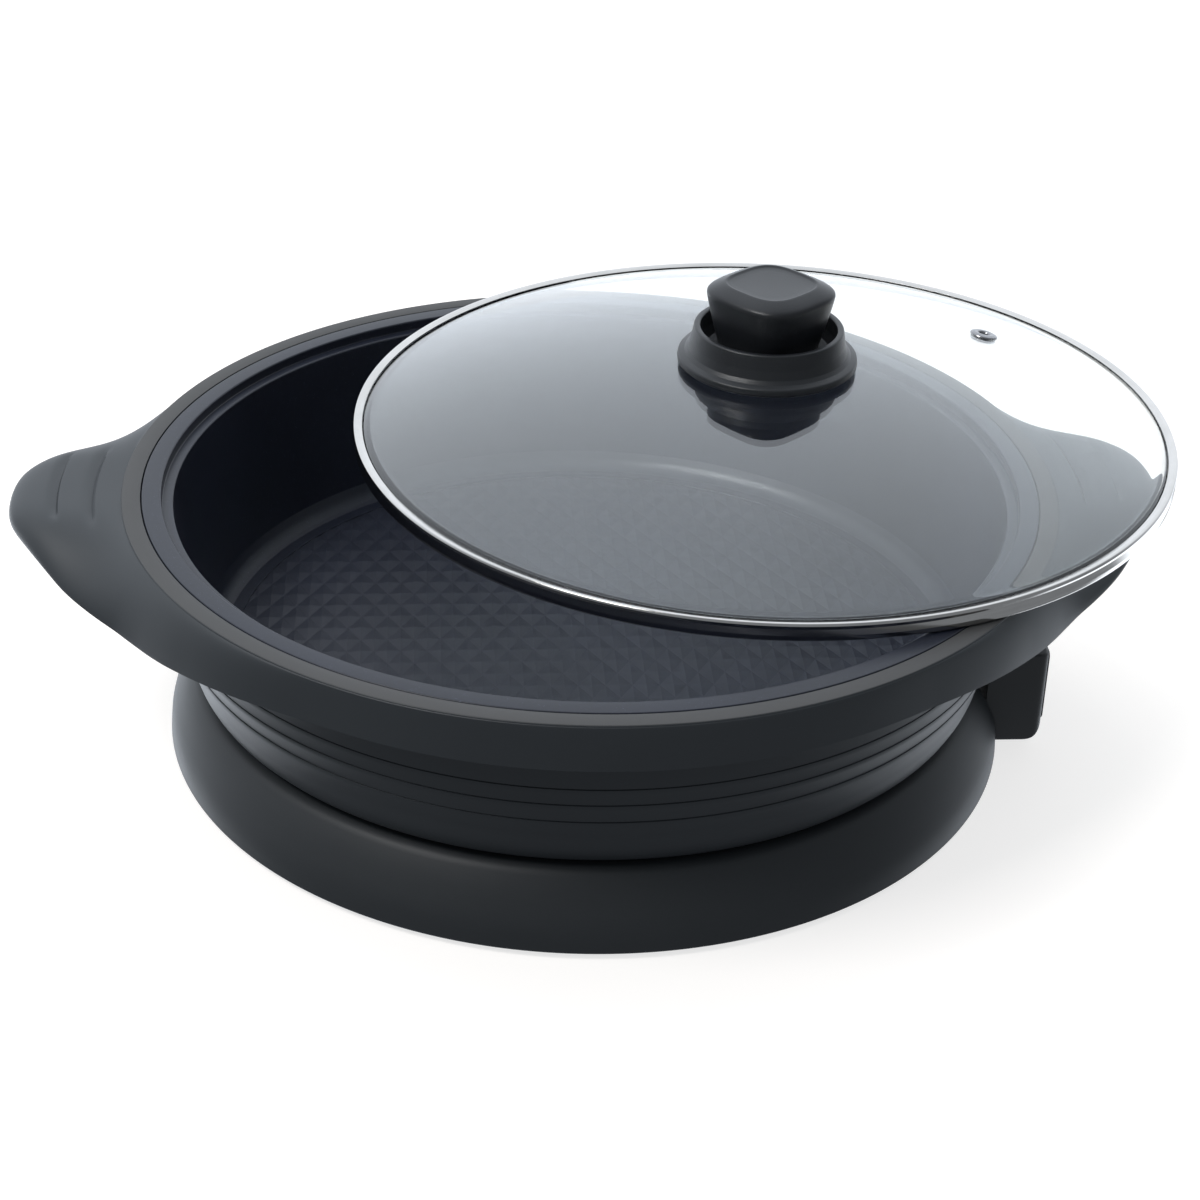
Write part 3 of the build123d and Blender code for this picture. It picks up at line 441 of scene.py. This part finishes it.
class Finish:
    """One material and the nodes that colour and roughen it."""

    def __init__(self, name):
        self.material = bpy.data.materials.new(name)
        self.material.use_nodes = True
        self.tree = self.material.node_tree
        self.tree.nodes.clear()
        self.shader = self.tree.nodes.new("ShaderNodeBsdfPrincipled")
        out = self.tree.nodes.new("ShaderNodeOutputMaterial")
        self.tree.links.new(self.shader.outputs[0], out.inputs["Surface"])
        coordinates = self.tree.nodes.new("ShaderNodeTexCoord")
        self.place = Value(self, coordinates.outputs["Object"])

    def node(self, kind, settings=None, inputs=None, out=0):
        """Adds a node: its settings first, then its inputs by name or number; returns one output."""
        node = self.tree.nodes.new(kind)
        for key, value in (settings or {}).items():
            if key == "stops":
                while len(node.color_ramp.elements) < len(value):
                    node.color_ramp.elements.new(0.5)
                for element, (position, shade) in zip(node.color_ramp.elements, value):
                    element.position = position
                    element.color = (*shade, 1.0) if isinstance(shade, tuple) else (shade, shade, shade, 1.0)
            else:
                setattr(node, key, value)
        for key, value in (inputs or {}).items():
            self.join(node.inputs[key], value)
        return Value(self, node.outputs[out])

    def join(self, socket, value):
        """Links a Value to a socket, or sets the socket's own value."""
        if isinstance(value, Value):
            self.tree.links.new(value.socket, socket)
        elif isinstance(value, tuple) and len(value) == 3 and len(socket.default_value) == 4:
            socket.default_value = (*value, 1.0)
        else:
            socket.default_value = value

    def noise(self, scale, detail=3.0, roughness=0.55, stretch=None):
        """Soft noise, 0 to 1, with its features 1 / scale metres across."""
        place = self.place
        if stretch is not None:
            place = self.node("ShaderNodeVectorMath", {"operation": "MULTIPLY"}, {0: place, 1: stretch})
        return self.node("ShaderNodeTexNoise", {"normalize": True}, {
            "Vector": place, "Scale": scale, "Detail": detail, "Roughness": roughness})

    def cells(self, scale):
        """Distance to the nearest of many scattered points."""
        return self.node("ShaderNodeTexVoronoi", {"feature": "F1"}, {"Vector": self.place, "Scale": scale})

    def between(self, value, low, high):
        """0 where value is under low, 1 over high, smooth between."""
        return self.node("ShaderNodeMapRange", {"interpolation_type": "SMOOTHSTEP", "clamp": True}, {
            "Value": value, "From Min": low, "From Max": high})

    def blend(self, factor, first, second):
        """Mix of two colours."""
        return self.node("ShaderNodeMix", {"data_type": "RGBA", "blend_type": "MIX", "clamp_factor": True}, {
            0: factor, 6: first, 7: second}, out=2)

    def set(self, **inputs):
        """Sets or links inputs of the shader; an underscore stands for a space."""
        for key, value in inputs.items():
            self.join(self.shader.inputs[key.replace("_", " ")], value)
        return self

    def bump(self, height, strength, distance):
        """Bump from a height value, linked to the shader's normal."""
        normal = self.node("ShaderNodeBump", None, {"Height": height, "Strength": strength,
                                                    "Distance": distance})
        self.join(self.shader.inputs["Normal"], normal)
        return self


def moulding(name, dark, light, rough, grain=2600.0, depth=0.00006, strength=0.35, spread=0.06, specular=0.5):
    """Moulded plastic with a spark-eroded grain, cloudy sheen and faint handling marks."""
    finish = Finish(name)
    clouds = finish.noise(9.0, 4.0)
    fine = finish.noise(grain, 2.0)
    marks = finish.noise(60.0, 5.0, 0.6, stretch=(1.0, 1.0, 3.0))
    tone = clouds * 0.55 + fine * 0.3 + marks * 0.15
    finish.set(Base_Color=finish.blend(finish.between(tone, 0.3, 0.7), dark, light),
               Roughness=rough - spread + clouds * spread + marks * spread,
               Specular_IOR_Level=specular)
    return finish.bump(fine + marks * 0.25, strength, depth)


def nonstick(name, dark, light, fleck, rough, flecks=0.5, specular=0.5):
    """Baked non-stick coating: blue-black with pale mineral flecks and a slight orange peel."""
    finish = Finish(name)
    clouds = finish.noise(14.0, 4.0)
    peel = finish.noise(520.0, 3.0)
    dots = finish.between(finish.cells(1500.0), 0.17, 0.1)
    rare = finish.between(finish.noise(420.0, 1.0), 0.52, 0.66)
    shown = dots * rare * flecks
    ground = finish.blend(finish.between(clouds * 0.6 + peel * 0.4, 0.3, 0.7), dark, light)
    finish.set(Base_Color=finish.blend(shown, ground, fleck),
               Roughness=rough + clouds * 0.08 - shown * 0.12, Specular_IOR_Level=specular)
    return finish.bump(peel + dots * 0.4, 0.22, 0.00008)


def metal(name, dark, light, rough, stretch=(1.0, 1.0, 1.0), scale=120.0, strength=0.12, metallic=1.0):
    """Bare metal with drawing or rolling marks along its shorter stretch."""
    finish = Finish(name)
    lines = finish.noise(scale, 5.0, 0.65, stretch=stretch)
    clouds = finish.noise(18.0, 3.0)
    finish.set(Base_Color=finish.blend(finish.between(lines * 0.6 + clouds * 0.4, 0.3, 0.7), dark, light),
               Roughness=rough + lines * 0.1 + clouds * 0.05, Metallic=metallic)
    return finish.bump(lines, strength, 0.00004)


def machined(name, dark, light, rough):
    """Faced aluminium, with fine turning rings about the part's axis."""
    finish = Finish(name)
    flat = finish.node("ShaderNodeVectorMath", {"operation": "MULTIPLY"}, {0: finish.place, 1: (1.0, 1.0, 0.0)})
    radius = finish.node("ShaderNodeVectorMath", {"operation": "LENGTH"}, {0: flat}, out=1)
    rings = finish.node("ShaderNodeTexNoise", {"noise_dimensions": "1D", "normalize": True}, {
        "W": radius, "Scale": 1800.0, "Detail": 3.0})
    clouds = finish.noise(25.0, 4.0)
    finish.set(Base_Color=finish.blend(finish.between(rings * 0.5 + clouds * 0.5, 0.3, 0.7), dark, light),
               Roughness=rough + rings * 0.14, Metallic=1.0)
    return finish.bump(rings, 0.2, 0.00005)


def clear_glass(name):
    """Tempered glass, faintly green, with a trace of wiping haze."""
    finish = Finish(name)
    haze = finish.between(finish.noise(22.0, 5.0), 0.45, 0.85)
    finish.set(Base_Color=finish.blend(haze, (0.93, 0.965, 0.96), (0.90, 0.94, 0.935)),
               Roughness=haze * 0.012, Transmission_Weight=1.0, IOR=1.5, Coat_Weight=0.6,
               Coat_IOR=1.6, Coat_Roughness=0.0)
    return finish


def braid(name, dark, light):
    """Woven glass-fibre sleeve."""
    finish = Finish(name)
    weave = finish.node("ShaderNodeTexWave", {"bands_direction": "DIAGONAL"}, {
        "Vector": finish.place, "Scale": 900.0, "Distortion": 1.5, "Detail": 1.0})
    finish.set(Base_Color=finish.blend(weave, dark, light), Roughness=0.75 + weave * 0.1)
    return finish.bump(weave, 0.5, 0.0001)


def shell_moulding(name, dark, light, rim, rough):
    """Moulded plastic that is duller on the flat land round the pan, where painted light also makes it paler.
    """
    finish = moulding(name, dark, light, rough)
    height = finish.node("ShaderNodeSeparateXYZ", None, {0: finish.place}, out=2)
    # Painted light: this mask makes the flat land at rim height paler, as if lit from above; its added
    # roughness is the real finish.
    lit_land_mask = finish.between(height, (RIM_Z - 0.35) * MM, (RIM_Z - 0.1) * MM)
    colour = finish.shader.inputs["Base Color"].links[0].from_socket
    worn = finish.shader.inputs["Roughness"].links[0].from_socket
    return finish.set(Base_Color=finish.blend(lit_land_mask, Value(finish, colour), rim),
                      Roughness=Value(finish, worn) + lit_land_mask * 0.1)


# The last colour is painted light: the paler tone of the flat land round the pan, as if lit from above.
shell_finish = shell_moulding("shell_moulding", (0.027, 0.031, 0.035), (0.033, 0.038, 0.043),
                              (0.054, 0.054, 0.054), 0.48)
skirt_finish = moulding("skirt_moulding", (0.021, 0.024, 0.027), (0.027, 0.031, 0.034), 0.52)
# Painted light: the box is the same plastic as the skirt, made paler here as if its face caught more light.
box_lit_finish = moulding("box_lit_moulding", (0.038, 0.040, 0.041), (0.047, 0.049, 0.050), 0.50)
knob_finish = moulding("knob_moulding", (0.010, 0.011, 0.013), (0.017, 0.019, 0.022), 0.36, grain=1900.0,
                       depth=0.00012, strength=0.5)
bottom_finish = moulding("bottom_moulding", (0.015, 0.015, 0.015), (0.021, 0.021, 0.021), 0.55)
cutout_finish = moulding("cutout_phenolic", (0.035, 0.02, 0.013), (0.05, 0.03, 0.02), 0.3)
rubber_finish = moulding("foot_rubber", (0.014, 0.014, 0.014), (0.022, 0.022, 0.022), 0.8, grain=1500.0)
pan_finish = nonstick("pan_coating", (0.007, 0.009, 0.016), (0.012, 0.015, 0.027), (0.26, 0.30, 0.42),
                      0.34)
relief_finish = nonstick("relief_coating", (0.010, 0.012, 0.020), (0.015, 0.018, 0.029), (0.2, 0.23, 0.3),
                         0.42, flecks=0.25)
screw_finish = metal("zinc_steel", (0.42, 0.42, 0.43), (0.58, 0.58, 0.6), 0.3)
rim_finish = metal("polished_rim", (0.60, 0.585, 0.56), (0.70, 0.68, 0.655), 0.05, stretch=(1.0, 1.0, 12.0),
                   scale=40.0, strength=0.03)
eyelet_finish = metal("eyelet_steel", (0.28, 0.28, 0.29), (0.40, 0.40, 0.41), 0.2)
pin_finish = metal("nickel", (0.6, 0.59, 0.56), (0.72, 0.71, 0.68), 0.18)
element_finish = metal("element_sheath", (0.14, 0.14, 0.145), (0.26, 0.26, 0.27), 0.42)
brass_finish = metal("brass_tube", (0.6, 0.42, 0.18), (0.75, 0.56, 0.28), 0.28)
reflector_finish = metal("rolled_aluminium", (0.68, 0.68, 0.69), (0.82, 0.82, 0.83), 0.22,
                         stretch=(0.1, 1.0, 1.0), scale=260.0)
plate_finish = machined("faced_aluminium", (0.55, 0.55, 0.56), (0.72, 0.72, 0.73), 0.26)
block_finish = moulding("steatite", (0.62, 0.59, 0.52), (0.74, 0.71, 0.64), 0.6)
glass_finish = clear_glass("tempered_glass")
braid_finish = braid("glass_fibre_sleeve", (0.55, 0.54, 0.5), (0.75, 0.74, 0.7))

CARRIED = {
    "handle_cover_screws": screw_finish, "pan_screws": screw_finish, "plate_posts": screw_finish,
    "plate_screws": screw_finish, "reflector_screws": screw_finish, "cutout_clip": screw_finish,
    "clip_screws": screw_finish, "shroud_screws": screw_finish, "bottom_screws": screw_finish,
    "knob_screw": screw_finish, "knob_washer": screw_finish, "heating_plate": plate_finish,
    "heating_element": element_finish,
    "heat_reflector": reflector_finish, "thermal_cutout": cutout_finish, "cutout_leads": braid_finish,
    "terminal_block": block_finish, "terminal_pins": pin_finish, "probe_tube": brass_finish,
    "earth_contact": pin_finish, "bottom_plate": bottom_finish, "rubber_feet": rubber_finish,
    "knob_gasket": rubber_finish,
}
for node_name, finish in CARRIED.items():
    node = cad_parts[node_name]
    node.data.materials.clear()
    node.data.materials.append(finish.material)

pan_body.data.materials.append(pan_finish.material)
bowl_shell.data.materials.append(shell_finish.material)
for cover in handle_covers:
    cover.data.materials.append(shell_finish.material)

relief = from_tree("pan_relief", relief_tree(relief_finish.material), {
    "Pitch X": 5.4 * MM, "Pitch Y": 9.35 * MM, "Height": 0.5 * MM, "Radius": (RELIEF_R + 5.0) * MM,
    "Level": RELIEF_LEVEL * MM, "Cells X": 56, "Cells Y": 32}, "bowl")

# Each cell is split so that its two low corners share the crease.
bm = bmesh.new()
bm.from_mesh(relief.data)
middle_z = RELIEF_MIDDLE * MM
for face in list(bm.faces):
    if len(face.verts) == 4:
        low = [v for v in face.verts if v.co.z < middle_z]
        if len(low) == 2:
            bmesh.utils.face_split(face, low[0], low[1])
bmesh.ops.recalc_face_normals(bm, faces=bm.faces)
if bm.faces and sum(f.normal.z for f in bm.faces) < 0:
    bmesh.ops.reverse_faces(bm, faces=bm.faces)
bm.to_mesh(relief.data)
bm.free()
for polygon in relief.data.polygons:
    polygon.use_smooth = False

# ---------------------------------------------------------------- base skirt
skirt_outside = [(SKIRT_R, 0.7), (SKIRT_R - 0.25, 4.0), (SKIRT_R - 0.6, 7.0), (SKIRT_R - 1.5, 10.5),
                 (SKIRT_R - 3.1, 14.0), (SKIRT_R - 4.8, 17.5), (SKIRT_R - 6.6, 20.8), (SKIRT_R - 8.6, 24.0)]
skirt_shoulder = [(158.9, 26.0), (157.9, 27.3), (156.6, 28.2), (155.2, 28.7), (153.6, 29.0)]
SKIRT_WALL = 2.4
skirt_inside = [(r - SKIRT_WALL, z) for r, z in skirt_outside]
loop = ([(r, z) for r, z in reversed(skirt_outside)] + [(SKIRT_R - 0.4, 0.15), (SKIRT_R - 1.0, 0.0),
        (SKIRT_R - 2.0, 0.0)] + skirt_inside)
upper = ([(155.4, 25.0), (149.4, 22.5), (111.4, 22.5), (111.0, 22.9), (111.0, 24.5), (111.4, 24.9),
          (150.9, 24.9), (151.4, 25.4), (151.4, 28.6), (151.8, 29.0)] + list(reversed(skirt_shoulder)))
section = [(r, SKIRT_LOW + z) for r, z in loop + upper]
lower_count = len(loop)
WINDOW_GAP = 0.15
WINDOW_R = 160.0          # where the window's columns are spaced evenly
WINDOW_HALF = BOX_HALF + WINDOW_GAP
window_edge = math.asin(WINDOW_HALF / WINDOW_R)
SIDE_COLUMNS, WINDOW_COLUMNS = 300, 16
grid_turns = [window_edge + (2 * math.pi - 2 * window_edge) * k / SIDE_COLUMNS for k in range(SIDE_COLUMNS + 1)]
grid_turns += [-window_edge + 2 * window_edge * k / WINDOW_COLUMNS for k in range(1, WINDOW_COLUMNS)]


def skirt_point(turn, r, z):
    """Point of the skirt at a nominal turn, eased so that the window's sides stay parallel."""
    turn = (turn + math.pi) % (2 * math.pi) - math.pi
    edge = math.asin(WINDOW_HALF / r)
    if abs(turn) <= window_edge + 1e-9:
        real = turn * edge / window_edge
    else:
        real = edge + (abs(turn) - window_edge) * (math.pi - edge) / (math.pi - window_edge)
        real = math.copysign(real, turn)
    return r * math.cos(real), r * math.sin(real), z


verts = [skirt_point(turn, r, z) for turn in grid_turns for r, z in section]
size = len(section)
faces = []
total = len(grid_turns)
for c in range(total):
    here, there = c * size, (c + 1) % total * size
    in_window = c >= SIDE_COLUMNS
    for k in range(size):
        n = (k + 1) % size
        if in_window and k < lower_count - 1:
            continue
        faces.append((here + k, here + n, there + n, there + k))
    if in_window:
        faces.append((here, here + lower_count - 1, there + lower_count - 1, there))
for c in (0, SIDE_COLUMNS):
    faces.append(tuple(c * size + k for k in range(lower_count)))
skirt = piece("skirt_ring", verts, faces, "base", ("base_skirt",), sharp=35.0)
skirt.data.materials.append(skirt_finish.material)

# ---------------------------------------------------------------- connector box
BOX_LOW = SKIRT_LOW - 0.8
BOX_BACK = 160.6          # where the box goes into the skirt
BOX_CORNER = 1.2
FRONT_BEND = 8.0          # how far behind the face the lower edge starts to bend up
BEND_R = 7.0
SIDE_R = 4.0


def box_loop(x, half, low, high, corner, steps=6):
    """Rounded rectangle across the box at x."""
    points = []
    for cy, cz, start in ((half - corner, high - corner, 0), (-half + corner, high - corner, 90),
                          (-half + corner, low + corner, 180), (half - corner, low + corner, 270)):
        for k in range(steps + 1):
            angle = math.radians(start + 90 * k / steps)
            points.append((x, cy + corner * math.cos(angle), cz + corner * math.sin(angle)))
    return points


def drawn_in(x, start, radius):
    """How far a quarter round that begins at `start` has drawn a side in at x."""
    return radius * (1 - math.sqrt(max(1 - (max(x - start, 0.0) / radius) ** 2, 0.0)))


box_columns = [box_loop(BOX_BACK, BOX_HALF, BOX_LOW, BOX_TOP, BOX_CORNER)]
for k in range(1, 5):
    x = BOX_BACK + (BOX_FACE - FRONT_BEND - BOX_BACK) * k / 5
    box_columns.append(box_loop(x, BOX_HALF, BOX_LOW, BOX_TOP, BOX_CORNER))
for k in range(13):
    bend = math.radians(90 * k / 12)
    x = BOX_FACE - FRONT_BEND + BEND_R * math.sin(bend)
    low = BOX_LOW + BEND_R * (1 - math.cos(bend))
    side = drawn_in(x, BOX_FACE - 5.0, SIDE_R)
    top_drop = drawn_in(x, BOX_FACE - 2.2, BOX_CORNER)
    box_columns.append(box_loop(x, BOX_HALF - side, low, BOX_TOP - top_drop, BOX_CORNER + side * 0.3))
front_x = BOX_FACE - 0.2
box_columns.append(box_loop(front_x, BOX_HALF - 4.3, BOX_LOW + 7.6, BOX_TOP - 1.6, 2.4))
box_columns.append(box_loop(front_x, 23.2, 11.6, 34.2, 2.2))
box_columns.append(box_loop(front_x - 0.4, 22.8, 12.0, 33.8, 1.9))
box_columns.append(box_loop(164.0, 22.6, 12.2, 33.6, 1.8))
box_columns.append(box_loop(163.2, 22.0, 12.8, 33.0, 1.4))
box_piece = lofted("connector_box", box_columns, "base", ("connector_shroud",), around=False,
                   caps=True, sharp=50.0)
box_piece.data.materials.append(box_lit_finish.material)

# ---------------------------------------------------------------- lid
GLASS_T = 4.0
SCREW_HOLE_R = 4.2
INNER_FOOT_R = 160.0
dome_foot_r, dome_foot_h = 161.8, 6.35
crown = GLASS_TOP
dome_r = (dome_foot_r ** 2 + (crown - dome_foot_h) ** 2) / (2 * (crown - dome_foot_h))


def glass_top(r):
    """Height of the dome's upper face above the rim's foot."""
    return crown - dome_r + math.sqrt(dome_r ** 2 - r ** 2)


def glass_under(r):
    """Height of the dome's lower face above the rim's foot."""
    return crown - dome_r + math.sqrt((dome_r - GLASS_T) ** 2 - r ** 2)


outer_face = [(r, glass_top(r)) for r in np.linspace(SCREW_HOLE_R, dome_foot_r, 40)]
inner_face = [(r, glass_under(r)) for r in np.linspace(INNER_FOOT_R, SCREW_HOLE_R, 40)]
edge = rounded([(162.6, 6.15, 0.8), (LID_R - 0.9, 6.1, 0.5), (LID_R - 0.9, 2.3, 0.5), (161.4, 2.3, 0.8)], 4)
glass_outline = [(float(r), float(z)) for r, z in outer_face + edge + inner_face]
glass_dome = turned("glass_dome", glass_outline, "lid", ("lid_glass",), at=LID_AT, segments=288,
                    sharp=50.0)
glass_dome.data.materials.append(glass_finish.material)
glass_dome.visible_shadow = False

rim_outline = rounded([
    (162.7, 0.0, 0.15), (LID_R - 0.2, 0.0, 0.9), (LID_R - 0.05, 2.4, 0.6), (LID_R - 0.45, 5.0, 0.8),
    (LID_R, 6.2, 0.6), (LID_R - 0.4, 7.2, 0.6), (LID_R - 1.5, 7.2, 0.5), (LID_R - 3.7, 6.5, 0.1),
    (LID_R - 3.6, 6.35, 0.05), (LID_R - 0.85, 6.35, 0.1), (LID_R - 0.85, 0.7, 0.1), (162.7, 0.6, 0.1)], 5)
rim_ring = turned("lid_rim", rim_outline, "lid", ("lid_rim_band",), at=LID_AT, segments=320,
                  sharp=50.0)
rim_ring.data.materials.append(rim_finish.material)

eyelet_at = ((eyelet_low + eyelet_high) / 2) / MM
across = Vector((eyelet_at.x - LID_AT[0], eyelet_at.y - LID_AT[1]))
vent_r = across.length
lean = Vector((across.x / dome_r, across.y / dome_r, math.sqrt(1 - (vent_r / dome_r) ** 2)))
vent_tilt = Vector((0, 0, 1)).rotation_difference(lean).to_matrix()
vent_seat = Vector((LID_AT[0], LID_AT[1], LID_AT[2] + crown - dome_r)) + lean * dome_r
vent_outline = rounded([
    (2.3, -4.9, 0.3), (5.4, -4.9, 0.4), (5.4, -4.1, 0.2), (3.2, -4.05, 0.1), (3.2, 0.03, 0.1),
    (6.0, 0.03, 0.15), (5.6, 0.75, 0.5), (4.0, 1.25, 0.8), (2.7, 1.1, 0.5), (2.3, 0.4, 0.4)], 4)
vent = turned("vent_grommet", vent_outline, "lid", ("vent_eyelet",), at=tuple(vent_seat),
              segments=48, tilt=vent_tilt)
vent.data.materials.append(eyelet_finish.material)

collar_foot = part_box("knob_collar")[0].z / MM - LID_AT[2]
collar_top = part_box("knob_collar")[1].z / MM - LID_AT[2]
collar_outline = rounded([
    (3.2, collar_foot, 0), (27.6, collar_foot, 0.4), (28.4, 32.2, 0.4), (34.6, 32.5, 0.8), (36.2, 33.6, 0.9),
    (36.0, 36.1, 1.0), (33.4, 37.0, 0.8), (32.0, 38.4, 0.8), (31.0, 41.8, 1.2), (29.9, collar_top, 0.9),
    (27.4, collar_top, 0.9), (26.6, 42.0, 1.5), (25.0, 37.9, 1.2), (22.0, 37.2, 1.0), (3.2, 37.2, 0)], 5)
collar = turned("knob_cup", collar_outline, "lid", ("knob_collar",), at=LID_AT, segments=128)
collar.data.materials.append(knob_finish.material)

grip_low, grip_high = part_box("knob_grip")
GRIP_LOW = grip_low.z / MM - LID_AT[2]
GRIP_TOP = grip_high.z / MM - LID_AT[2]
KNOB_TURN = math.radians(40.8)


def grip_loop(height, half, power, count=96):
    """Rounded square of the knob at one height."""
    points = []
    for k in range(count):
        angle = 2 * math.pi * k / count
        c, s = math.cos(angle), math.sin(angle)
        r = half / (abs(c) ** power + abs(s) ** power) ** (1 / power)
        x, y = r * c, r * s
        points.append((LID_AT[0] + x * math.cos(KNOB_TURN) - y * math.sin(KNOB_TURN),
                       LID_AT[1] + x * math.sin(KNOB_TURN) + y * math.cos(KNOB_TURN),
                       LID_AT[2] + height))
    return points


top = GRIP_TOP
levels = [(GRIP_LOW, 16.6, 3.0), (GRIP_LOW + 0.4, 17.4, 3.0), (43.0, 18.6, 3.0), (48.0, 19.8, 3.0),
          (53.0, 20.9, 3.05), (58.0, 21.9, 3.1), (60.8, 22.35, 3.15), (62.0, 22.5, 3.15),
          (62.9, 22.35, 3.15), (63.5, 21.9, 3.15),
          (64.1, 21.1, 3.15), (65.0, 19.4, 3.2), (65.7, 17.9, 3.2), (66.1, 16.9, 3.2), (top, 16.2, 3.2),
          (top - 0.05, 15.7, 3.2), (top - 0.45, 15.3, 3.2), (top - 0.6, 14.6, 3.2), (top - 0.7, 12.0, 3.0),
          (top - 0.8, 9.0, 2.8), (top - 0.88, 6.0, 2.5), (top - 0.92, 3.0, 2.2), (top - 0.93, 1.0, 2.0)]
grip = lofted("knob_handle", [grip_loop(*level) for level in levels], "lid", ("knob_grip",),
              around=False, caps=True, sharp=55.0)
grip.data.materials.append(knob_finish.material)

# ---------------------------------------------------------------- floor, light and camera
floor_mesh = bpy.data.meshes.new("studio_floor")
floor_mesh.from_pydata([(-9, -9, 0), (9, -9, 0), (9, 9, 0), (-9, 9, 0)], [], [(0, 1, 2, 3)])
floor_obj = bpy.data.objects.new("studio_floor", floor_mesh)
bpy.context.scene.collection.objects.link(floor_obj)
floor_finish = Finish("studio_paper")
paper = floor_finish.noise(3.0, 2.0)
floor_finish.set(Base_Color=floor_finish.blend(paper, (0.49, 0.46, 0.43), (0.51, 0.48, 0.45)), Roughness=0.9,
                 Specular_IOR_Level=0.1, Emission_Color=(1.0, 1.0, 1.0), Emission_Strength=0.72)
floor_mesh.materials.append(floor_finish.material)
floor_obj.visible_diffuse = False
floor_obj.visible_glossy = False
floor_obj.visible_shadow = False


class Surround(Finish):
    """The studio walls: what the parts mirror, with plain white behind them in the picture."""

    def __init__(self, name):
        world = bpy.data.worlds.new(name)
        world.use_nodes = True
        bpy.context.scene.world = world
        self.tree = world.node_tree
        self.tree.nodes.clear()
        self.shader = self.tree.nodes.new("ShaderNodeBackground")
        out = self.tree.nodes.new("ShaderNodeOutputWorld")
        self.tree.links.new(self.shader.outputs[0], out.inputs["Surface"])
        self.place = Value(self, self.tree.nodes.new("ShaderNodeTexCoord").outputs["Generated"])

    def along(self, direction, flat=False):
        """How far each direction points along the given one; flat leaves heights out."""
        place = self.place
        if flat:
            place = self.node("ShaderNodeVectorMath", {"operation": "MULTIPLY"}, {0: place, 1: (1.0, 1.0, 0.0)})
            place = self.node("ShaderNodeVectorMath", {"operation": "NORMALIZE"}, {0: place})
        return self.node("ShaderNodeVectorMath", {"operation": "DOT_PRODUCT"}, {0: place, 1: direction}, out=1)


STRIP_EDGE = (0.91, 0.985)
STRIP_LEVEL = 3.2
ROOM_LEVEL = 0.26
walls = Surround("studio")
height = walls.along((0.0, 0.0, 1.0))
back_wall = walls.between(walls.along((-0.12, 0.96, 0.24)), -0.2, 0.95) * walls.between(height, -0.55, -0.2)
right_strip = walls.between(walls.along((0.83, 0.56, 0.0), flat=True), *STRIP_EDGE)
left_strip = walls.between(walls.along((-0.64, 0.77, 0.0), flat=True), *STRIP_EDGE)
strips = (right_strip * 0.5 + left_strip * 0.8) * (1.0 - walls.between(height, -0.36, -0.2))
level = back_wall + strips * STRIP_LEVEL + ROOM_LEVEL
seen = Value(walls, walls.tree.nodes.new("ShaderNodeLightPath").outputs["Is Camera Ray"])
walls.set(Color=walls.blend(seen, (0.90, 0.96, 1.04), (1.0, 1.0, 1.0)), Strength=level + seen * (1.0 - level))


def softbox(name, at, toward, size, power):
    """A rectangular area light at `at`, facing `toward`."""
    light = bpy.data.lights.new(name, "AREA")
    light.shape = "RECTANGLE"
    light.size, light.size_y = size
    light.energy = power
    obj = bpy.data.objects.new(name, light)
    bpy.context.scene.collection.objects.link(obj)
    obj.location = at
    obj.rotation_euler = (Vector(toward) - Vector(at)).to_track_quat("-Z", "Y").to_euler()
    return obj


top_box = softbox("top_box", (-0.2, 0.6, 1.9), (0.0, 0.0, 0.1), (1.2, 0.8), 10.0)
top_box.visible_glossy = False
top_box.visible_transmission = False
softbox("key_box", (-0.95, -0.55, 1.5), (0.0, 0.0, 0.1), (0.7, 0.5), 14.0)

CAMERA_DISTANCE = 0.998
CAMERA_HEIGHT_ANGLE = 0.471
OBJECT_TURN = math.radians(4.2)
AIM_ROLL, AIM_PITCH, AIM_YAW = 0.027, 0.049, -0.005     # small turns away from the rim's centre
camera_data = bpy.data.cameras.new("camera")
camera_data.sensor_width = 36.0
camera_data.lens = 75.9
camera_data.clip_end = 60.0
camera = bpy.data.objects.new("camera", camera_data)
bpy.context.scene.collection.objects.link(camera)
place = Vector((0.0, -CAMERA_DISTANCE * math.cos(CAMERA_HEIGHT_ANGLE),
                CAMERA_DISTANCE * math.sin(CAMERA_HEIGHT_ANGLE)))
ahead = -place.normalized()
right = Vector((1.0, 0.0, 0.0))
down = -right.cross(ahead)
look = Matrix((right, down, ahead))
aim = Matrix.Rotation(AIM_ROLL, 3, "Z") @ Matrix.Rotation(AIM_PITCH, 3, "X") @ Matrix.Rotation(AIM_YAW, 3, "Y")
look = aim @ look
turn_back = Matrix.Rotation(-OBJECT_TURN, 3, "Z")
axes = [turn_back @ look[0], turn_back @ -look[1], turn_back @ -look[2]]
rotation = Matrix(axes).transposed()
camera.matrix_world = Matrix.Translation(turn_back @ place + Vector((0, 0, RIM_Z * MM))) @ rotation.to_4x4()
bpy.context.scene.camera = camera
bpy.context.scene.view_settings.view_transform = "Standard"
